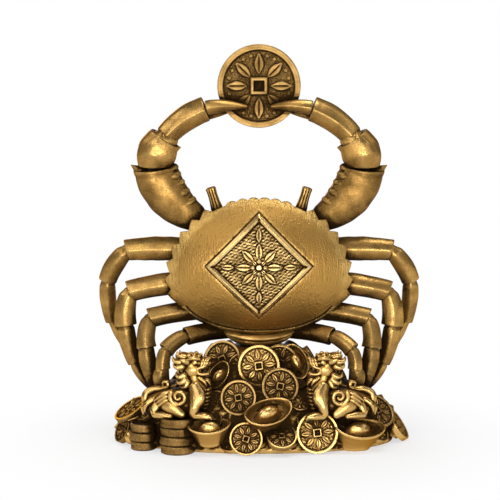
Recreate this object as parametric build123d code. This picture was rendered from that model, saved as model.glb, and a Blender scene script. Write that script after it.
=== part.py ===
"""Cast-brass crab figurine on a mound of coins and ingots.

The crab stands upright with its shell towards the viewer and holds a cash coin
between its raised claws. Every casting is a separate solid: pieces are coped to
what carries them and located by round pins in clearance sockets, as castings are
before they are brazed. Millimetres, +Z up, -Y is the front, and the origin is at
the middle of the footprint on the surface that the figurine stands on.
"""

import math
import os

from build123d import *

# A depth in front of the whole figurine, and how a solid stands on its own origin
FAR_FRONT = -60.0
STANDING = (Align.CENTER, Align.CENTER, Align.MIN)

# The braze gap round every locating pin, on the radius
PIN_CLEARANCE = 0.1
# How far back into its own casting a pin is rooted
PIN_ROOT = 2.0

# The mound under the crab, as oval tiers: height, half length, half depth
MOUND_TIERS = (
    (0.0, 69.0, 37.0),
    (9.0, 70.0, 38.0),
    (20.0, 63.0, 35.0),
    (30.0, 46.0, 28.0),
    (40.0, 31.0, 21.5),
    (47.0, 22.0, 15.5),
)

# Coins half sunk in the sides and back of the mound, cast in one with it. A row is its height,
# how many would go all the way round, and the first and last bearing that it keeps a side
SUNK_COIN_ROWS = (
    (9.0, 18, 70.0, 180.0),
    (22.0, 13, 140.0, 180.0),
    (33.0, 10, 100.0, 180.0),
    (42.0, 9, 110.0, 180.0),
)
SUNK_COIN_RADIUS = 7.0
SUNK_COIN_THICKNESS = 3.0
SUNK_COIN_LEAN = 30.0
SUNK_COIN_SWING = 14.0

# The carapace, a cap cut from an ellipsoid, and the body under it
SHELL_HEIGHT = 90.0
SHELL_TILT_BACK = 19.0
SHELL_HALF_WIDTH = 56.0
SHELL_HALF_DEPTH = 36.0
SHELL_HALF_HEIGHT = 42.0
SHELL_WALL = 2.4
OUTLINE_HALF_WIDTH = 45.0
OUTLINE_TOP = 40.5
OUTLINE_BOTTOM = 28.0
OUTLINE_CENTRE = -8.0
OUTLINE_SQUARENESS = 2.3
# The teeth along the outline, and the angles from the top where they start and end
SIDE_TEETH = 8
SIDE_TOOTH = 2.8
# How far along its own step a side tooth has its tip
SIDE_TOOTH_TIP = 0.35
TEETH_START = 34.0
TEETH_END = 118.0
FRONT_TEETH = 6
FRONT_TOOTH = 1.3
FRONT_TEETH_END = 24.0
BODY_INSET = 5.0
BODY_SEAM = 4.0
BODY_BACK = 18.0
BODY_SHOULDER = 4.0
BELLY_TAPER = 13.0

# The diamond plaque let into the carapace
PLAQUE_SIDE = 37.5
PLAQUE_FRAME = 2.8
PLAQUE_PROUD = 1.6
PLAQUE_RECESS = 1.2
PLAQUE_SEAT = 1.2
# The rosette on its field: leaves round the middle and one towards each corner, as how
# many, where they start and end, and their half width; a round boss; and their height
ROSETTE_LEAVES = ((8, 3.0, 12.2, 2.1), (4, 12.6, 19.2, 1.7))
ROSETTE_BOSS = 1.6
ROSETTE_RELIEF = 0.9

# The tail between the shell and the mound: curved bands that meet at both ends, fanned about
# the level line between those ends, round a core. Fan angles are degrees below the front.
TAIL_HEIGHT = 56.5
TAIL_BACK = 9.0
TAIL_HALF_WIDTH = 20.0
TAIL_REACH = 11.0
TAIL_BANDS = 5
TAIL_BAND_HALF_THICKNESS = 4.2
TAIL_BAND_STEP = 0.5
TAIL_FAN_START = 34.0
TAIL_FAN_STEP = 21.0
TAIL_CORE = 8.6

# The eye stalks
EYE_SPREAD = 21.0
EYE_FOOT = 27.0
EYE_LENGTH = 12.0
EYE_SPLAY = 17.0
EYE_STALK = 3.0
EYE_TIP = 2.4
EYE_BALL = 2.6
EYE_PIN = 1.2
EYE_PIN_LENGTH = 5.0

# The coin that the claws hold
HELD_COIN_RADIUS = 20.8
HELD_COIN_THICKNESS = 3.6
HELD_COIN_HEIGHT = 179.2

# The proportions of every cash coin
COIN_RIM = 2.9
COIN_RELIEF = 0.8
COIN_HOLE = 4.6
COIN_HOLE_FRAME = 1.9

# The claws. Each station is across, back, up, half width, half depth
ARM_STATIONS = (
    (29.0, 5.0, 111.0, 6.0, 5.0),
    (43.0, 4.0, 120.5, 10.2, 7.6),
    (50.0, 3.0, 131.0, 11.2, 7.8),
    (52.2, 2.0, 138.4, 10.6, 6.8),
)
# The spike at the arm's outer corner: its root radius, tip radius, length and rise
ARM_SPIKE = (4.0, 0.4, 9.0, 25.0)
ARM_TEETH = 5
ARM_TOOTH = 2.0
# How deep a tooth's middle lies inside the arm's edge, and where the row starts, in steps
ARM_TOOTH_SUNK = 0.7
ARM_TEETH_START = 0.6
WRIST_STATIONS = (
    (52.2, 1.5, 138.7, 8.2, 5.8),
    (51.0, 0.5, 146.0, 10.0, 7.4),
    (47.2, -0.5, 153.4, 7.8, 6.4),
)
# The thorn on the wrist's inner side: its root radius, tip radius, length and rise
WRIST_THORN = (3.8, 0.5, 8.0, 16.0)
PALM_STATIONS = (
    (46.6, -0.5, 154.0, 5.6, 5.2),
    (37.8, -1.0, 162.2, 6.4, 5.8),
    (26.6, -1.5, 167.9, 6.3, 5.2),
)
FINGER_STATIONS = (
    (26.4, -4.4, 168.4, 3.7, 2.6),
    (17.0, -4.5, 169.6, 2.9, 2.5),
    (6.0, -3.6, 169.1, 0.7, 1.2),
)
REAR_FINGER_STATIONS = (
    (28.0, 2.2, 165.4, 3.9, 2.6),
    (18.0, 3.4, 167.4, 2.9, 2.2),
    (9.0, 3.2, 169.0, 0.8, 1.0),
)
ARM_PIN = 3.0
ARM_PIN_LENGTH = 7.0
WRIST_PIN = 2.4
WRIST_PIN_LENGTH = 5.0
FINGER_PIN = 1.2
FINGER_PIN_LENGTH = 5.0

# The walking legs: how far out of the body each hip is, then the knee and ankle as
# offsets from the hip, and the heel as an offset from where the toe lands.
# Offsets are across, back, up.
LEG_NAMES = ("leg_1", "leg_2", "leg_3", "leg_4")
HIPS = ((30.0, 8.0, 95.5), (34.5, 7.0, 79.5), (24.0, 6.0, 65.5), (15.0, 11.0, 54.0))
KNEES = ((37.0, 1.5, 0.0), (31.0, 0.5, -4.8), (31.0, -2.0, -4.0), (21.5, -13.0, -1.0))
ANKLES = ((47.6, 7.5, -16.2), (33.5, 1.0, -22.0), (33.0, -5.0, -18.5), (31.5, -18.5, -7.0))
TOES = ((124.0, 20.5), (106.0, 24.0), (93.0, 26.5), (74.0, 28.0))
HEELS = ((24.6, 2.0, 37.2), (9.8, 0.5, 14.0), (2.6, -1.0, 7.0), (0.8, 0.0, 9.6))
# Half widths of each leg's four segments, at the start, middle and end of each
LEG_WIDTHS = (
    ((5.5, 6.4, 5.3), (3.8, 5.2, 5.0), (3.7, 4.4, 3.3), (2.7, 2.3, 1.4)),
    ((5.0, 6.0, 5.3), (3.8, 5.5, 5.5), (4.3, 4.7, 3.3), (2.6, 2.3, 1.4)),
    ((4.7, 5.3, 5.0), (3.7, 4.7, 4.8), (3.9, 4.5, 3.9), (3.1, 2.7, 1.8)),
    ((4.3, 4.9, 4.7), (3.4, 4.2, 4.3), (3.1, 3.7, 3.6), (3.3, 4.3, 3.0)),
)
# How far the middle of each segment bows outwards
LEG_BOWS = (0.9, 1.3, 0.8, 1.4)
LEG_FLATNESS = 0.78
LEG_LAP = 1.6
HIP_PIN = 2.2
HIP_PIN_LENGTH = 7.0
FOOT_PIN = 1.1
FOOT_PIN_LENGTH = 4.0

# The two guardian beasts: where they sit on the mound, and their one shape
GUARDIAN_SPOT = (38.5, -28.5, 17.0)
GUARDIAN_TURN = 10.0
GUARDIAN_HALF_DEPTH = 6.4
# One beast facing +X. Its trunk as sections: along, up, tilt from upright, share of the half
# depth, half height
GUARDIAN_TRUNK = (
    (-14.0, 6.6, 84.3, 0.7, 4.8),
    (-4.0, 8.0, 81.5, 1.0, 6.4),
    (5.5, 11.0, 56.3, 1.0, 6.6),
    (8.6, 22.0, 4.0, 0.75, 4.8),
)
# Its round masses in the middle, the head, two of the mane and two of the tail: along, up, radius
GUARDIAN_BALLS = (
    (7.0, 27.6, 5.6),
    (2.4, 27.0, 5.2),
    (2.8, 22.0, 4.2),
    (-15.2, 7.4, 4.0),
    (-15.4, 12.6, 2.6),
)
# Its muzzle and jaw, then on each side its haunch's paw, foreleg, forepaw, wing and ear: along,
# share of the half depth out, up, turn from upright, root radius, tip radius, length
GUARDIAN_CONES = (
    (8.0, 0.0, 29.3, 90.0, 3.9, 2.4, 9.0),
    (8.0, 0.0, 23.9, 98.0, 2.5, 1.2, 7.4),
)
GUARDIAN_SIDE_CONES = (
    (-9.0, 0.9, 1.8, 90.0, 2.1, 1.9, 9.0),
    (8.2, 0.85, 0.0, 0.0, 2.4, 2.8, 13.0),
    (8.2, 0.85, 2.0, 90.0, 2.3, 2.0, 8.0),
    (0.0, 0.94, 15.0, -50.0, 2.2, 0.8, 7.0),
    (3.6, 0.55, 30.0, -20.0, 1.9, 0.6, 4.6),
)
# Its haunch on each side, and the curl that its wing grows from: along, share out, up, radius
GUARDIAN_HAUNCH = (-8.5, 0.5, 6.2, 5.2)
GUARDIAN_WING_CURL = (1.0, 0.9, 14.0, 3.4)
WING_THICKNESS = 2.6
# The levelled alcove that each beast sits in, and its clearance round the beast's flanks
ALCOVE_HALF_LENGTH = 21.0
ALCOVE_HEIGHT = 40.0
ALCOVE_CLEARANCE = 3.4

# Loose coins on the mound: bearing, height, out of the mound, yaw, lean, spin, radius
PILE_COIN_THICKNESS = 3.0
PILE_COINS = {
    "coin_centre": (0.0, 41.5, 2.6, -4.0, 12.0, 8.0, 10.4),
    "coin_upper_left": (-43.0, 43.0, -0.6, -18.0, 16.0, 30.0, 9.6),
    "coin_upper_right": (21.0, 42.0, 0.0, 10.0, 14.0, -20.0, 9.4),
    "coin_lower_left": (-11.0, 27.0, 1.6, -6.0, 18.0, 12.0, 8.8),
    "coin_lower_right": (13.5, 32.0, 1.2, 10.0, 14.0, -14.0, 9.2),
    "coin_front_left": (-5.0, 8.4, 1.6, -6.0, 6.0, -16.0, 8.2),
    "coin_front_right": (24.0, 10.6, 1.2, 8.0, 8.0, 6.0, 10.4),
    "coin_front_slab": (9.0, 9.0, 0.6, 4.0, 46.0, 4.0, 7.6),
    "coin_right_side": (66.0, 17.0, -0.4, 40.0, 42.0, 20.0, 9.6),
    "coin_right_end": (84.0, 8.0, 0.2, 78.0, 34.0, 0.0, 9.0),
    "coin_left_side": (-80.0, 16.0, 0.0, -66.0, 56.0, 0.0, 9.2),
    "coin_left_end": (-74.0, 6.5, 1.0, -62.0, 24.0, 0.0, 6.6),
    "coin_back_left": (-150.0, 24.0, 0.8, -160.0, 30.0, 10.0, 9.6),
    "coin_back_middle": (178.0, 34.0, 1.0, 176.0, 24.0, -8.0, 10.0),
    "coin_back_right": (146.0, 12.0, 0.8, 150.0, 14.0, 18.0, 9.6),
    "coin_back_low": (-168.0, 9.0, 1.0, -170.0, 10.0, 0.0, 8.6),
}

# Stacks of flat coins: bearing, out of the mound, radius, how many
STACK_COIN_THICKNESS = 4.4
STACK_GROOVE = 0.6
STACKS = {
    "coin_stack_outer": (-53.0, 3.0, 6.8, 3),
    "coin_stack_inner": (-34.5, 2.0, 8.8, 4),
    "coin_stack_back": (118.0, 2.0, 8.0, 3),
}

# Ingots: bearing, height, out of the mound, yaw, lean, roll, length
# Their breadth and depth as shares of the length
INGOT_BREADTH = 0.62
INGOT_DEPTH = 0.5
# The hull's sections as shares of the depth and of the half outline, from the foot to the lip
INGOT_HULL = ((1.0, 0.5), (0.45, 0.84), (0.0, 1.0))
# The dish in the top, and the dome in it with its middle that share of the depth down
INGOT_DISH = (0.88, 0.86, 0.5)
INGOT_DOME = (0.5, 0.56, 0.42)
INGOT_DOME_DOWN = 0.3
INGOTS = {
    "ingot_front": (4.0, 21.6, 4.4, 8.0, 52.0, 22.0, 26.0),
    "ingot_left_front": (-20.0, 14.6, 4.8, -10.0, 70.0, 14.0, 22.0),
    "ingot_right_front": (43.0, 12.0, 4.6, 22.0, 64.0, -10.0, 27.0),
    "ingot_left_end": (-76.0, 13.5, 0.8, -50.0, 74.0, 8.0, 16.0),
    "ingot_left_upright": (-33.0, 36.5, 1.6, -30.0, 20.0, 58.0, 17.0),
    "ingot_right_upright": (36.0, 43.0, 4.2, -12.0, 10.0, -64.0, 19.0),
    "ingot_back": (168.0, 19.0, 4.0, 168.0, 56.0, -12.0, 24.0),
}
PEARL_BEARING = -64.0
PEARL_HEIGHT = 4.4
PEARL_RADIUS = 3.8
PEARL_OUT = 1.5


def largest(shape):
    """The biggest solid of a shape that a cut may have left in pieces."""
    return max(shape.solids(), key=lambda solid: solid.volume)


def boxes_meet(a, b):
    """Whether the bounding boxes of two shapes overlap."""
    one, two = a.bounding_box(optimal=False), b.bounding_box(optimal=False)
    return all(
        low <= high
        for low, high in zip(tuple(one.min) + tuple(two.min), tuple(two.max) + tuple(one.max))
    )


def coped(piece, *carriers):
    """The piece cut back to the faces of what carries it."""
    for carrier in carriers:
        if boxes_meet(piece, carrier):
            piece = largest(piece - carrier)
    return piece


def ellipsoid(half_width, half_depth, half_height, centre=(0, 0, 0)):
    """A closed ellipsoid with those half sizes along X, Y and Z."""
    return Pos(*centre) * scale(Sphere(1.0), by=(half_width, half_depth, half_height))


def pin(start, direction, radius, length):
    """A round locating pin, or the socket for one, from a point along a direction."""
    plane = Plane(origin=start, z_dir=direction)
    return plane * extrude(Circle(radius), length)


def pinned(piece, carrier, at, direction, radius, length):
    """The piece coped to its carrier with a locating pin cast on it, and the pin's socket."""
    way = Vector(direction).normalized()
    start = Vector(at) - way * PIN_ROOT
    shank = pin(start, way, radius, PIN_ROOT + length)
    socket = pin(start, way, radius + PIN_CLEARANCE, PIN_ROOT + length + PIN_CLEARANCE)
    return largest(coped(piece, carrier) + shank), socket


def socketed(carrier, sockets):
    """The carrier with the sockets for its pins cut into it."""
    for socket in sockets:
        carrier = largest(carrier - socket)
    return carrier


def mirrored(shape):
    """The shape's twin on the other side of the figurine."""
    return mirror(shape, about=Plane.YZ)


def oval(centre, along, half_width, half_depth):
    """An oval section across a limb: its width lies in the plane of the shell."""
    along = Vector(along).normalized()
    across = along.cross(Vector(0, 1, 0)).normalized()
    return Plane(origin=centre, x_dir=across, z_dir=along) * Ellipse(half_width, half_depth)


def curved_limb(stations):
    """A limb lofted through stations of across, back, up, half width, half depth."""
    centres = [Vector(*station[:3]) for station in stations]
    sections = []
    for i, station in enumerate(stations):
        before = centres[max(i - 1, 0)]
        after = centres[min(i + 1, len(centres) - 1)]
        sections.append(oval(centres[i], after - before, *station[3:]))
    return loft(sections)


def mound_radii(height):
    """Half length and half depth of the mound at a height, straight between its tiers."""
    for low, high in zip(MOUND_TIERS, MOUND_TIERS[1:]):
        if height <= high[0]:
            break
    share = (height - low[0]) / (high[0] - low[0])
    return tuple(a + share * (b - a) for a, b in zip(low[1:], high[1:]))


def on_mound(bearing, height, out=0.0):
    """A point at a bearing, in degrees from the front towards +X, that far out of the mound."""
    half_length, half_depth = mound_radii(height)
    turn = math.radians(bearing)
    return Vector(
        (half_length + out) * math.sin(turn),
        -(half_depth + out) * math.cos(turn),
        height,
    )


def facing(point, yaw, lean, spin):
    """A plane at a point that faces the yaw from the front, leans up, and spins on itself."""
    turn, rise = math.radians(yaw), math.radians(lean)
    normal = Vector(
        math.sin(turn) * math.cos(rise), -math.cos(turn) * math.cos(rise), math.sin(rise)
    )
    level = Vector(math.cos(turn), math.sin(turn), 0)
    return Plane(origin=point, x_dir=level, z_dir=normal).rotated((0, 0, spin))


def make_ground():
    """The table under the figurine: the heap is filed flat to it."""
    length, depth, thickness = (4 * size for size in MOUND_TIERS[0][1:] + MOUND_TIERS[0][2:])
    return Pos(0, 0, -thickness / 2) * Box(length, depth, thickness)


def covered(spot):
    """Whether a loose coin or ingot lies over a spot of the mound."""
    loose = [(place, place[-1]) for place in PILE_COINS.values()]
    loose += [(place, place[-1] / 2) for place in INGOTS.values()]
    return any(
        (spot - on_mound(*place[:2])).length < radius + SUNK_COIN_RADIUS / 2 for place, radius in loose
    )


def sunk_coins():
    """The coins half sunk in the mound where no loose piece lies, each turned a little otherwise."""
    coins = []
    for height, count, first, last in SUNK_COIN_ROWS:
        for i in range(count):
            bearing = i * 360 / count - 180
            spot = on_mound(bearing, height)
            if first <= abs(bearing) <= last and not covered(spot):
                yaw = bearing + SUNK_COIN_SWING * math.sin(math.radians(2 * bearing))
                lean = SUNK_COIN_LEAN + SUNK_COIN_SWING * math.cos(math.radians(3 * bearing))
                place = facing(spot, yaw, lean, 0)
                coins.append(place * Cylinder(SUNK_COIN_RADIUS, SUNK_COIN_THICKNESS))
    return coins


def make_mound(ground):
    """The heap's core: an oval hill with a flat underside and coins half sunk in it."""
    tiers = [
        Pos(0, 0, height) * Ellipse(half_length, half_depth)
        for height, half_length, half_depth in MOUND_TIERS
    ]
    hill = largest(loft(tiers, ruled=True))
    return coped(largest(hill.fuse(*sunk_coins())), ground)


def shell_ellipsoid(offset):
    """The carapace's ellipsoid, grown or shrunk by an offset."""
    return ellipsoid(
        SHELL_HALF_WIDTH + offset,
        SHELL_HALF_DEPTH + offset,
        SHELL_HALF_HEIGHT + offset,
        (0, SHELL_TILT_BACK, SHELL_HEIGHT),
    )


def outline_point(angle, grow=0.0):
    """A point of the shell's outline. The angle runs from the top, clockwise from the front.
    The upper half is an ellipse and the lower half a squarer one."""
    across, up = math.sin(math.radians(angle)), math.cos(math.radians(angle))
    half_width = OUTLINE_HALF_WIDTH + grow
    half_height = (OUTLINE_TOP if up >= 0 else OUTLINE_BOTTOM) + grow
    power = 2.0 if up >= 0 else OUTLINE_SQUARENESS
    reach = (abs(across / half_width) ** power + abs(up / half_height) ** power) ** (-1 / power)
    return (reach * across, SHELL_HEIGHT + OUTLINE_CENTRE + reach * up)


def toothed_half():
    """Corners of the right half of the toothed outline, from the top round to the last tooth."""
    corners = [outline_point(0)]
    front_step = FRONT_TEETH_END / (FRONT_TEETH / 2)
    for i in range(FRONT_TEETH // 2):
        corners.append(outline_point((i + 0.5) * front_step, FRONT_TOOTH))
        corners.append(outline_point((i + 1) * front_step))
    side_step = (TEETH_END - TEETH_START) / SIDE_TEETH
    for i in range(SIDE_TEETH):
        start = TEETH_START + i * side_step
        corners.append(outline_point(start))
        corners.append(outline_point(start + SIDE_TOOTH_TIP * side_step, SIDE_TOOTH))
    return corners


def upright_face(corners):
    """A face in the XZ plane through the right half's corners, mirrored and closed by a curve."""
    last = corners[-1]
    mirrored = [(-x, z) for x, z in corners]
    under = [outline_point(angle) for angle in (140, 180, 220)]
    front = Polyline([(x, 0, z) for x, z in reversed(mirrored[1:])] + [(x, 0, z) for x, z in corners])
    below = Spline([(last[0], 0, last[1])] + [(x, 0, z) for x, z in under] + [(-last[0], 0, last[1])])
    return make_face([*front.edges(), *below.edges()])


def smooth_face(grow, back):
    """The plain outline, grown by an amount, as a face that far back."""
    angles = range(0, 360, 30)
    ring = [outline_point(angle, grow) for angle in angles]
    return make_face(Spline([(x, back, z) for x, z in ring], periodic=True).edges())


def outline_prism(face, front, back):
    """A face in the XZ plane carried from front to back along Y."""
    return Pos(0, front, 0) * extrude(face, back - front, dir=(0, 1, 0))


def diamond(side, front, back):
    """A square prism standing on its corner, at the middle of the shell."""
    return Pos(0, (front + back) / 2, SHELL_HEIGHT) * Rot(0, 45, 0) * Box(side, back - front, side)


def make_carapace():
    """The domed upper shell with its toothed edge and the pocket for the plaque."""
    wall = shell_ellipsoid(0) - shell_ellipsoid(-SHELL_WALL)
    cap = wall & outline_prism(upright_face(toothed_half()), FAR_FRONT, SHELL_TILT_BACK)
    pocket = diamond(PLAQUE_SIDE, FAR_FRONT, SHELL_TILT_BACK) - shell_ellipsoid(-PLAQUE_SEAT)
    return largest(cap - pocket)


def leaf_face(angle, start, end, half_width):
    """A pointed leaf between two arcs, that far from the middle of the shell."""
    turn = math.radians(angle)

    def at(along, side):
        across = along * math.cos(turn) - side * math.sin(turn)
        return (across, 0, SHELL_HEIGHT + along * math.sin(turn) + side * math.cos(turn))

    middle = (start + end) / 2
    one = ThreePointArc(at(start, 0), at(middle, half_width), at(end, 0))
    other = ThreePointArc(at(end, 0), at(middle, -half_width), at(start, 0))
    return make_face([*one.edges(), *other.edges()])


def make_rosette():
    """The leaves and boss that stand on the plaque's field, curved with the shell."""
    layer = shell_ellipsoid(PLAQUE_PROUD - PLAQUE_RECESS + ROSETTE_RELIEF) - shell_ellipsoid(0)
    boss = Pos(0, 0, SHELL_HEIGHT) * Rot(90, 0, 0) * Cylinder(ROSETTE_BOSS, -FAR_FRONT, align=STANDING)
    prisms = [boss]
    for count, start, end, half_width in ROSETTE_LEAVES:
        for i in range(count):
            face = leaf_face(i * 360 / count, start, end, half_width)
            prisms.append(outline_prism(face, FAR_FRONT, 0))
    return [layer & prism for prism in prisms]


def make_plaque():
    """The diamond plaque: a frame round a sunk field with a rosette, curved with the shell."""
    plate = shell_ellipsoid(PLAQUE_PROUD) - shell_ellipsoid(-PLAQUE_SEAT)
    plate = plate & diamond(PLAQUE_SIDE, FAR_FRONT, 0)
    field = diamond(PLAQUE_SIDE - 2 * PLAQUE_FRAME, FAR_FRONT, 0)
    plate = plate - (field - shell_ellipsoid(PLAQUE_PROUD - PLAQUE_RECESS))
    for leaf in make_rosette():
        plate = plate + leaf
    return largest(plate)


def make_body():
    """The body casting: it fills the carapace from behind and swells into the belly."""
    front = outline_prism(smooth_face(-BODY_INSET, 0), FAR_FRONT, BODY_SEAM)
    core = front & shell_ellipsoid(-SHELL_WALL)
    belly = loft(
        [
            smooth_face(-BODY_INSET, BODY_SEAM),
            smooth_face(-BODY_INSET - BODY_SHOULDER, (BODY_SEAM + BODY_BACK) / 2),
            smooth_face(-BODY_INSET - BELLY_TAPER, BODY_BACK),
        ]
    )
    return largest(core + belly)


def make_tail():
    """The tail's bands, each a long lobe a little shorter than the one above, round their core."""
    core = ellipsoid(TAIL_HALF_WIDTH - TAIL_BANDS * TAIL_BAND_STEP, TAIL_CORE, TAIL_CORE)
    bands = []
    for i in range(TAIL_BANDS):
        band = ellipsoid(TAIL_HALF_WIDTH - i * TAIL_BAND_STEP, TAIL_REACH, TAIL_BAND_HALF_THICKNESS)
        bands.append(Rot(TAIL_FAN_START + i * TAIL_FAN_STEP, 0, 0) * band)
    return Pos(0, TAIL_BACK, TAIL_HEIGHT) * largest(core.fuse(*bands))


def make_eye():
    """The right eye: a splayed stalk with a round eye on its end."""
    splay = math.radians(EYE_SPLAY)
    way = Vector(math.sin(splay), 0, math.cos(splay))
    foot = Vector(EYE_SPREAD, BODY_SEAM / 2, SHELL_HEIGHT + EYE_FOOT)
    length = EYE_LENGTH - EYE_BALL
    stalk = Plane(origin=foot, z_dir=way) * Cone(EYE_STALK, EYE_TIP, length, align=STANDING)
    ball = Pos(*(foot + way * length)) * Sphere(EYE_BALL)
    return largest(stalk + ball), foot, way


def coin_face(radius, thickness, level):
    """What is cut from a coin's face: the field between the rim and the square, and the hole."""
    square = COIN_HOLE + 2 * COIN_HOLE_FRAME
    field = Cylinder(radius - COIN_RIM, COIN_RELIEF) - Box(square, square, COIN_RELIEF)
    hole = Box(COIN_HOLE, COIN_HOLE, COIN_RELIEF)
    return Pos(0, 0, level * (thickness - COIN_RELIEF) / 2) * (field + hole)


def cash_coin(radius, thickness):
    """A round coin with a raised rim and a raised square round its blind hole, on both faces."""
    blank = Cylinder(radius, thickness)
    return largest(blank - coin_face(radius, thickness, 1) - coin_face(radius, thickness, -1))


def make_held_coin():
    """The coin between the claws, facing the front."""
    coin = cash_coin(HELD_COIN_RADIUS, HELD_COIN_THICKNESS)
    return Pos(0, 0, HELD_COIN_HEIGHT) * Rot(90, 0, 0) * coin


def rising(rise, outward=1):
    """The way outwards, or inwards, that rises by some degrees."""
    return (outward * math.cos(math.radians(rise)), 0, math.sin(math.radians(rise)))


def make_arm():
    """The claw's arm, with a spike at its outer corner and teeth along its inner edge."""
    arm = curved_limb(ARM_STATIONS)
    across, back, up, half_width, half_depth = ARM_STATIONS[-1]
    root, tip, length, rise = ARM_SPIKE
    corner = Plane(origin=(across + half_width - root, back, up - root), z_dir=rising(rise))
    arm += corner * Cone(root, tip, length, align=STANDING)
    for i in range(ARM_TEETH):
        share = (i + ARM_TEETH_START) / ARM_TEETH
        inner, outer = ARM_STATIONS[1], ARM_STATIONS[-1]
        across, back, up, half_width, _ = (a + share * (b - a) for a, b in zip(inner, outer))
        arm += Pos(across - half_width + ARM_TOOTH_SUNK, back, up) * Sphere(ARM_TOOTH)
    return largest(arm)


def make_wrist():
    """The wrist, with a thorn on its inner side."""
    root, tip, length, rise = WRIST_THORN
    across, back, up, half_width, _ = WRIST_STATIONS[1]
    thorn = Plane(origin=(across - half_width + root / 2, back, up), z_dir=rising(rise, -1))
    return largest(curved_limb(WRIST_STATIONS) + thorn * Cone(root, tip, length, align=STANDING))


def make_palm():
    """The palm with the fixed finger that passes behind the coin."""
    return largest(curved_limb(PALM_STATIONS) + curved_limb(REAR_FINGER_STATIONS))


def limb_end(stations):
    """Where a lofted limb starts, and the way from its start towards what carries it."""
    start, after = Vector(*stations[0][:3]), Vector(*stations[1][:3])
    return start, (start - after).normalized()


def make_claw(body, carapace, coin):
    """The right claw's four castings, seated on each other, and the arm's socket in the body."""
    at, way = limb_end(ARM_STATIONS)
    arm = coped(make_arm(), carapace)
    arm, body_socket = pinned(arm, body, at + way * 2, way, ARM_PIN, ARM_PIN_LENGTH)
    at, way = limb_end(WRIST_STATIONS)
    wrist, socket = pinned(make_wrist(), arm, at, way, WRIST_PIN, WRIST_PIN_LENGTH)
    arm = socketed(arm, [socket])
    at, way = limb_end(PALM_STATIONS)
    palm = coped(make_palm(), coin)
    palm, socket = pinned(palm, wrist, at, way, WRIST_PIN, WRIST_PIN_LENGTH)
    wrist = socketed(wrist, [socket])
    at, way = limb_end(FINGER_STATIONS)
    finger = coped(curved_limb(FINGER_STATIONS), coin)
    finger, socket = pinned(finger, palm, at, way, FINGER_PIN, FINGER_PIN_LENGTH)
    palm = socketed(palm, [socket])
    return {"arm": arm, "wrist": wrist, "palm": palm, "finger": finger}, body_socket


def leg_joints(i):
    """Hip, knee, ankle, heel and toe of a right leg."""
    hip = Vector(*HIPS[i])
    toe = on_mound(*TOES[i])
    return [hip, hip + Vector(*KNEES[i]), hip + Vector(*ANKLES[i]), toe + Vector(*HEELS[i]), toe]


def leg_casting(joints, widths):
    """One walking leg: four swelling segments, each plugged into the end of the one before."""
    leg = None
    for i, (start, end) in enumerate(zip(joints, joints[1:])):
        way = (end - start).normalized()
        lap = LEG_LAP if i else 0.0
        outward = way.cross(Vector(0, 1, 0)).normalized()
        at = [start - way * lap, (start + end) * 0.5 + outward * LEG_BOWS[i], end]
        if i == len(widths) - 1:
            at[-1] = end + way * FOOT_PIN_LENGTH
        segment = loft(
            [oval(point, way, width, width * LEG_FLATNESS) for point, width in zip(at, widths[i])]
        )
        leg = segment if leg is None else leg + segment
        if i:
            knuckle = min(widths[i - 1][-1], widths[i][0]) * LEG_FLATNESS
            leg = leg + Pos(*start) * Sphere(knuckle)
    return largest(leg)


def make_leg(i, hip_carrier, mound, *neighbours):
    """A right leg seated in its carrier and on the mound, and the sockets for its two pins."""
    joints = leg_joints(i)
    hip, _, _, heel, toe = joints
    leg = leg_casting(joints, LEG_WIDTHS[i])
    leg, hip_socket = pinned(leg, hip_carrier, hip, (-1, 0, 0), HIP_PIN, HIP_PIN_LENGTH)
    leg, foot_socket = pinned(leg, mound, toe, toe - heel, FOOT_PIN, FOOT_PIN_LENGTH)
    leg = coped(leg, *neighbours)
    return leg, hip_socket, foot_socket


def tapered(along, out, up, turn, root, tip, length):
    """A round tapering limb of the beast, turned that far from upright towards the front."""
    return Pos(along, out, up) * Rot(0, turn, 0) * Cone(root, tip, length, align=STANDING)


def make_guardian(ground):
    """A seated winged lion-dog facing +X: trunk, haunches, forelegs, wings, mane and open jaws."""
    half = GUARDIAN_HALF_DEPTH
    sections = []
    for along, up, tilt, share, half_height in GUARDIAN_TRUNK:
        turn = math.radians(tilt)
        way = (math.sin(turn), 0, math.cos(turn))
        plane = Plane(origin=(along, 0, up), x_dir=(0, 1, 0), z_dir=way)
        sections.append(plane * Ellipse(half * share, half_height))
    pieces = [Pos(along, 0, up) * Sphere(radius) for along, up, radius in GUARDIAN_BALLS]
    pieces += [tapered(*cone) for cone in GUARDIAN_CONES]
    for side in (-half, half):
        along, share, up, radius = GUARDIAN_HAUNCH
        pieces.append(Pos(along, side * share, up) * Sphere(radius))
        along, share, up, radius = GUARDIAN_WING_CURL
        pieces.append(Pos(along, side * share, up) * Rot(90, 0, 0) * Cylinder(radius, WING_THICKNESS))
        pieces += [tapered(cone[0], side * cone[1], *cone[2:]) for cone in GUARDIAN_SIDE_CONES]
    beast = loft(sections)
    for piece in pieces:
        beast = beast + piece
    return coped(largest(beast), ground)


def guardian_place():
    """Where the left beast sits: facing the middle, turned a little to the front."""
    across, back, up = GUARDIAN_SPOT
    return Pos(-across, back, up) * Rot(0, 0, -GUARDIAN_TURN)


def make_alcove():
    """The room that is levelled in the heap for the left beast."""
    half_depth = GUARDIAN_HALF_DEPTH + ALCOVE_CLEARANCE
    floor = SlotOverall(2 * ALCOVE_HALF_LENGTH, 2 * half_depth)
    return guardian_place() * extrude(floor, ALCOVE_HEIGHT)


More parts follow.
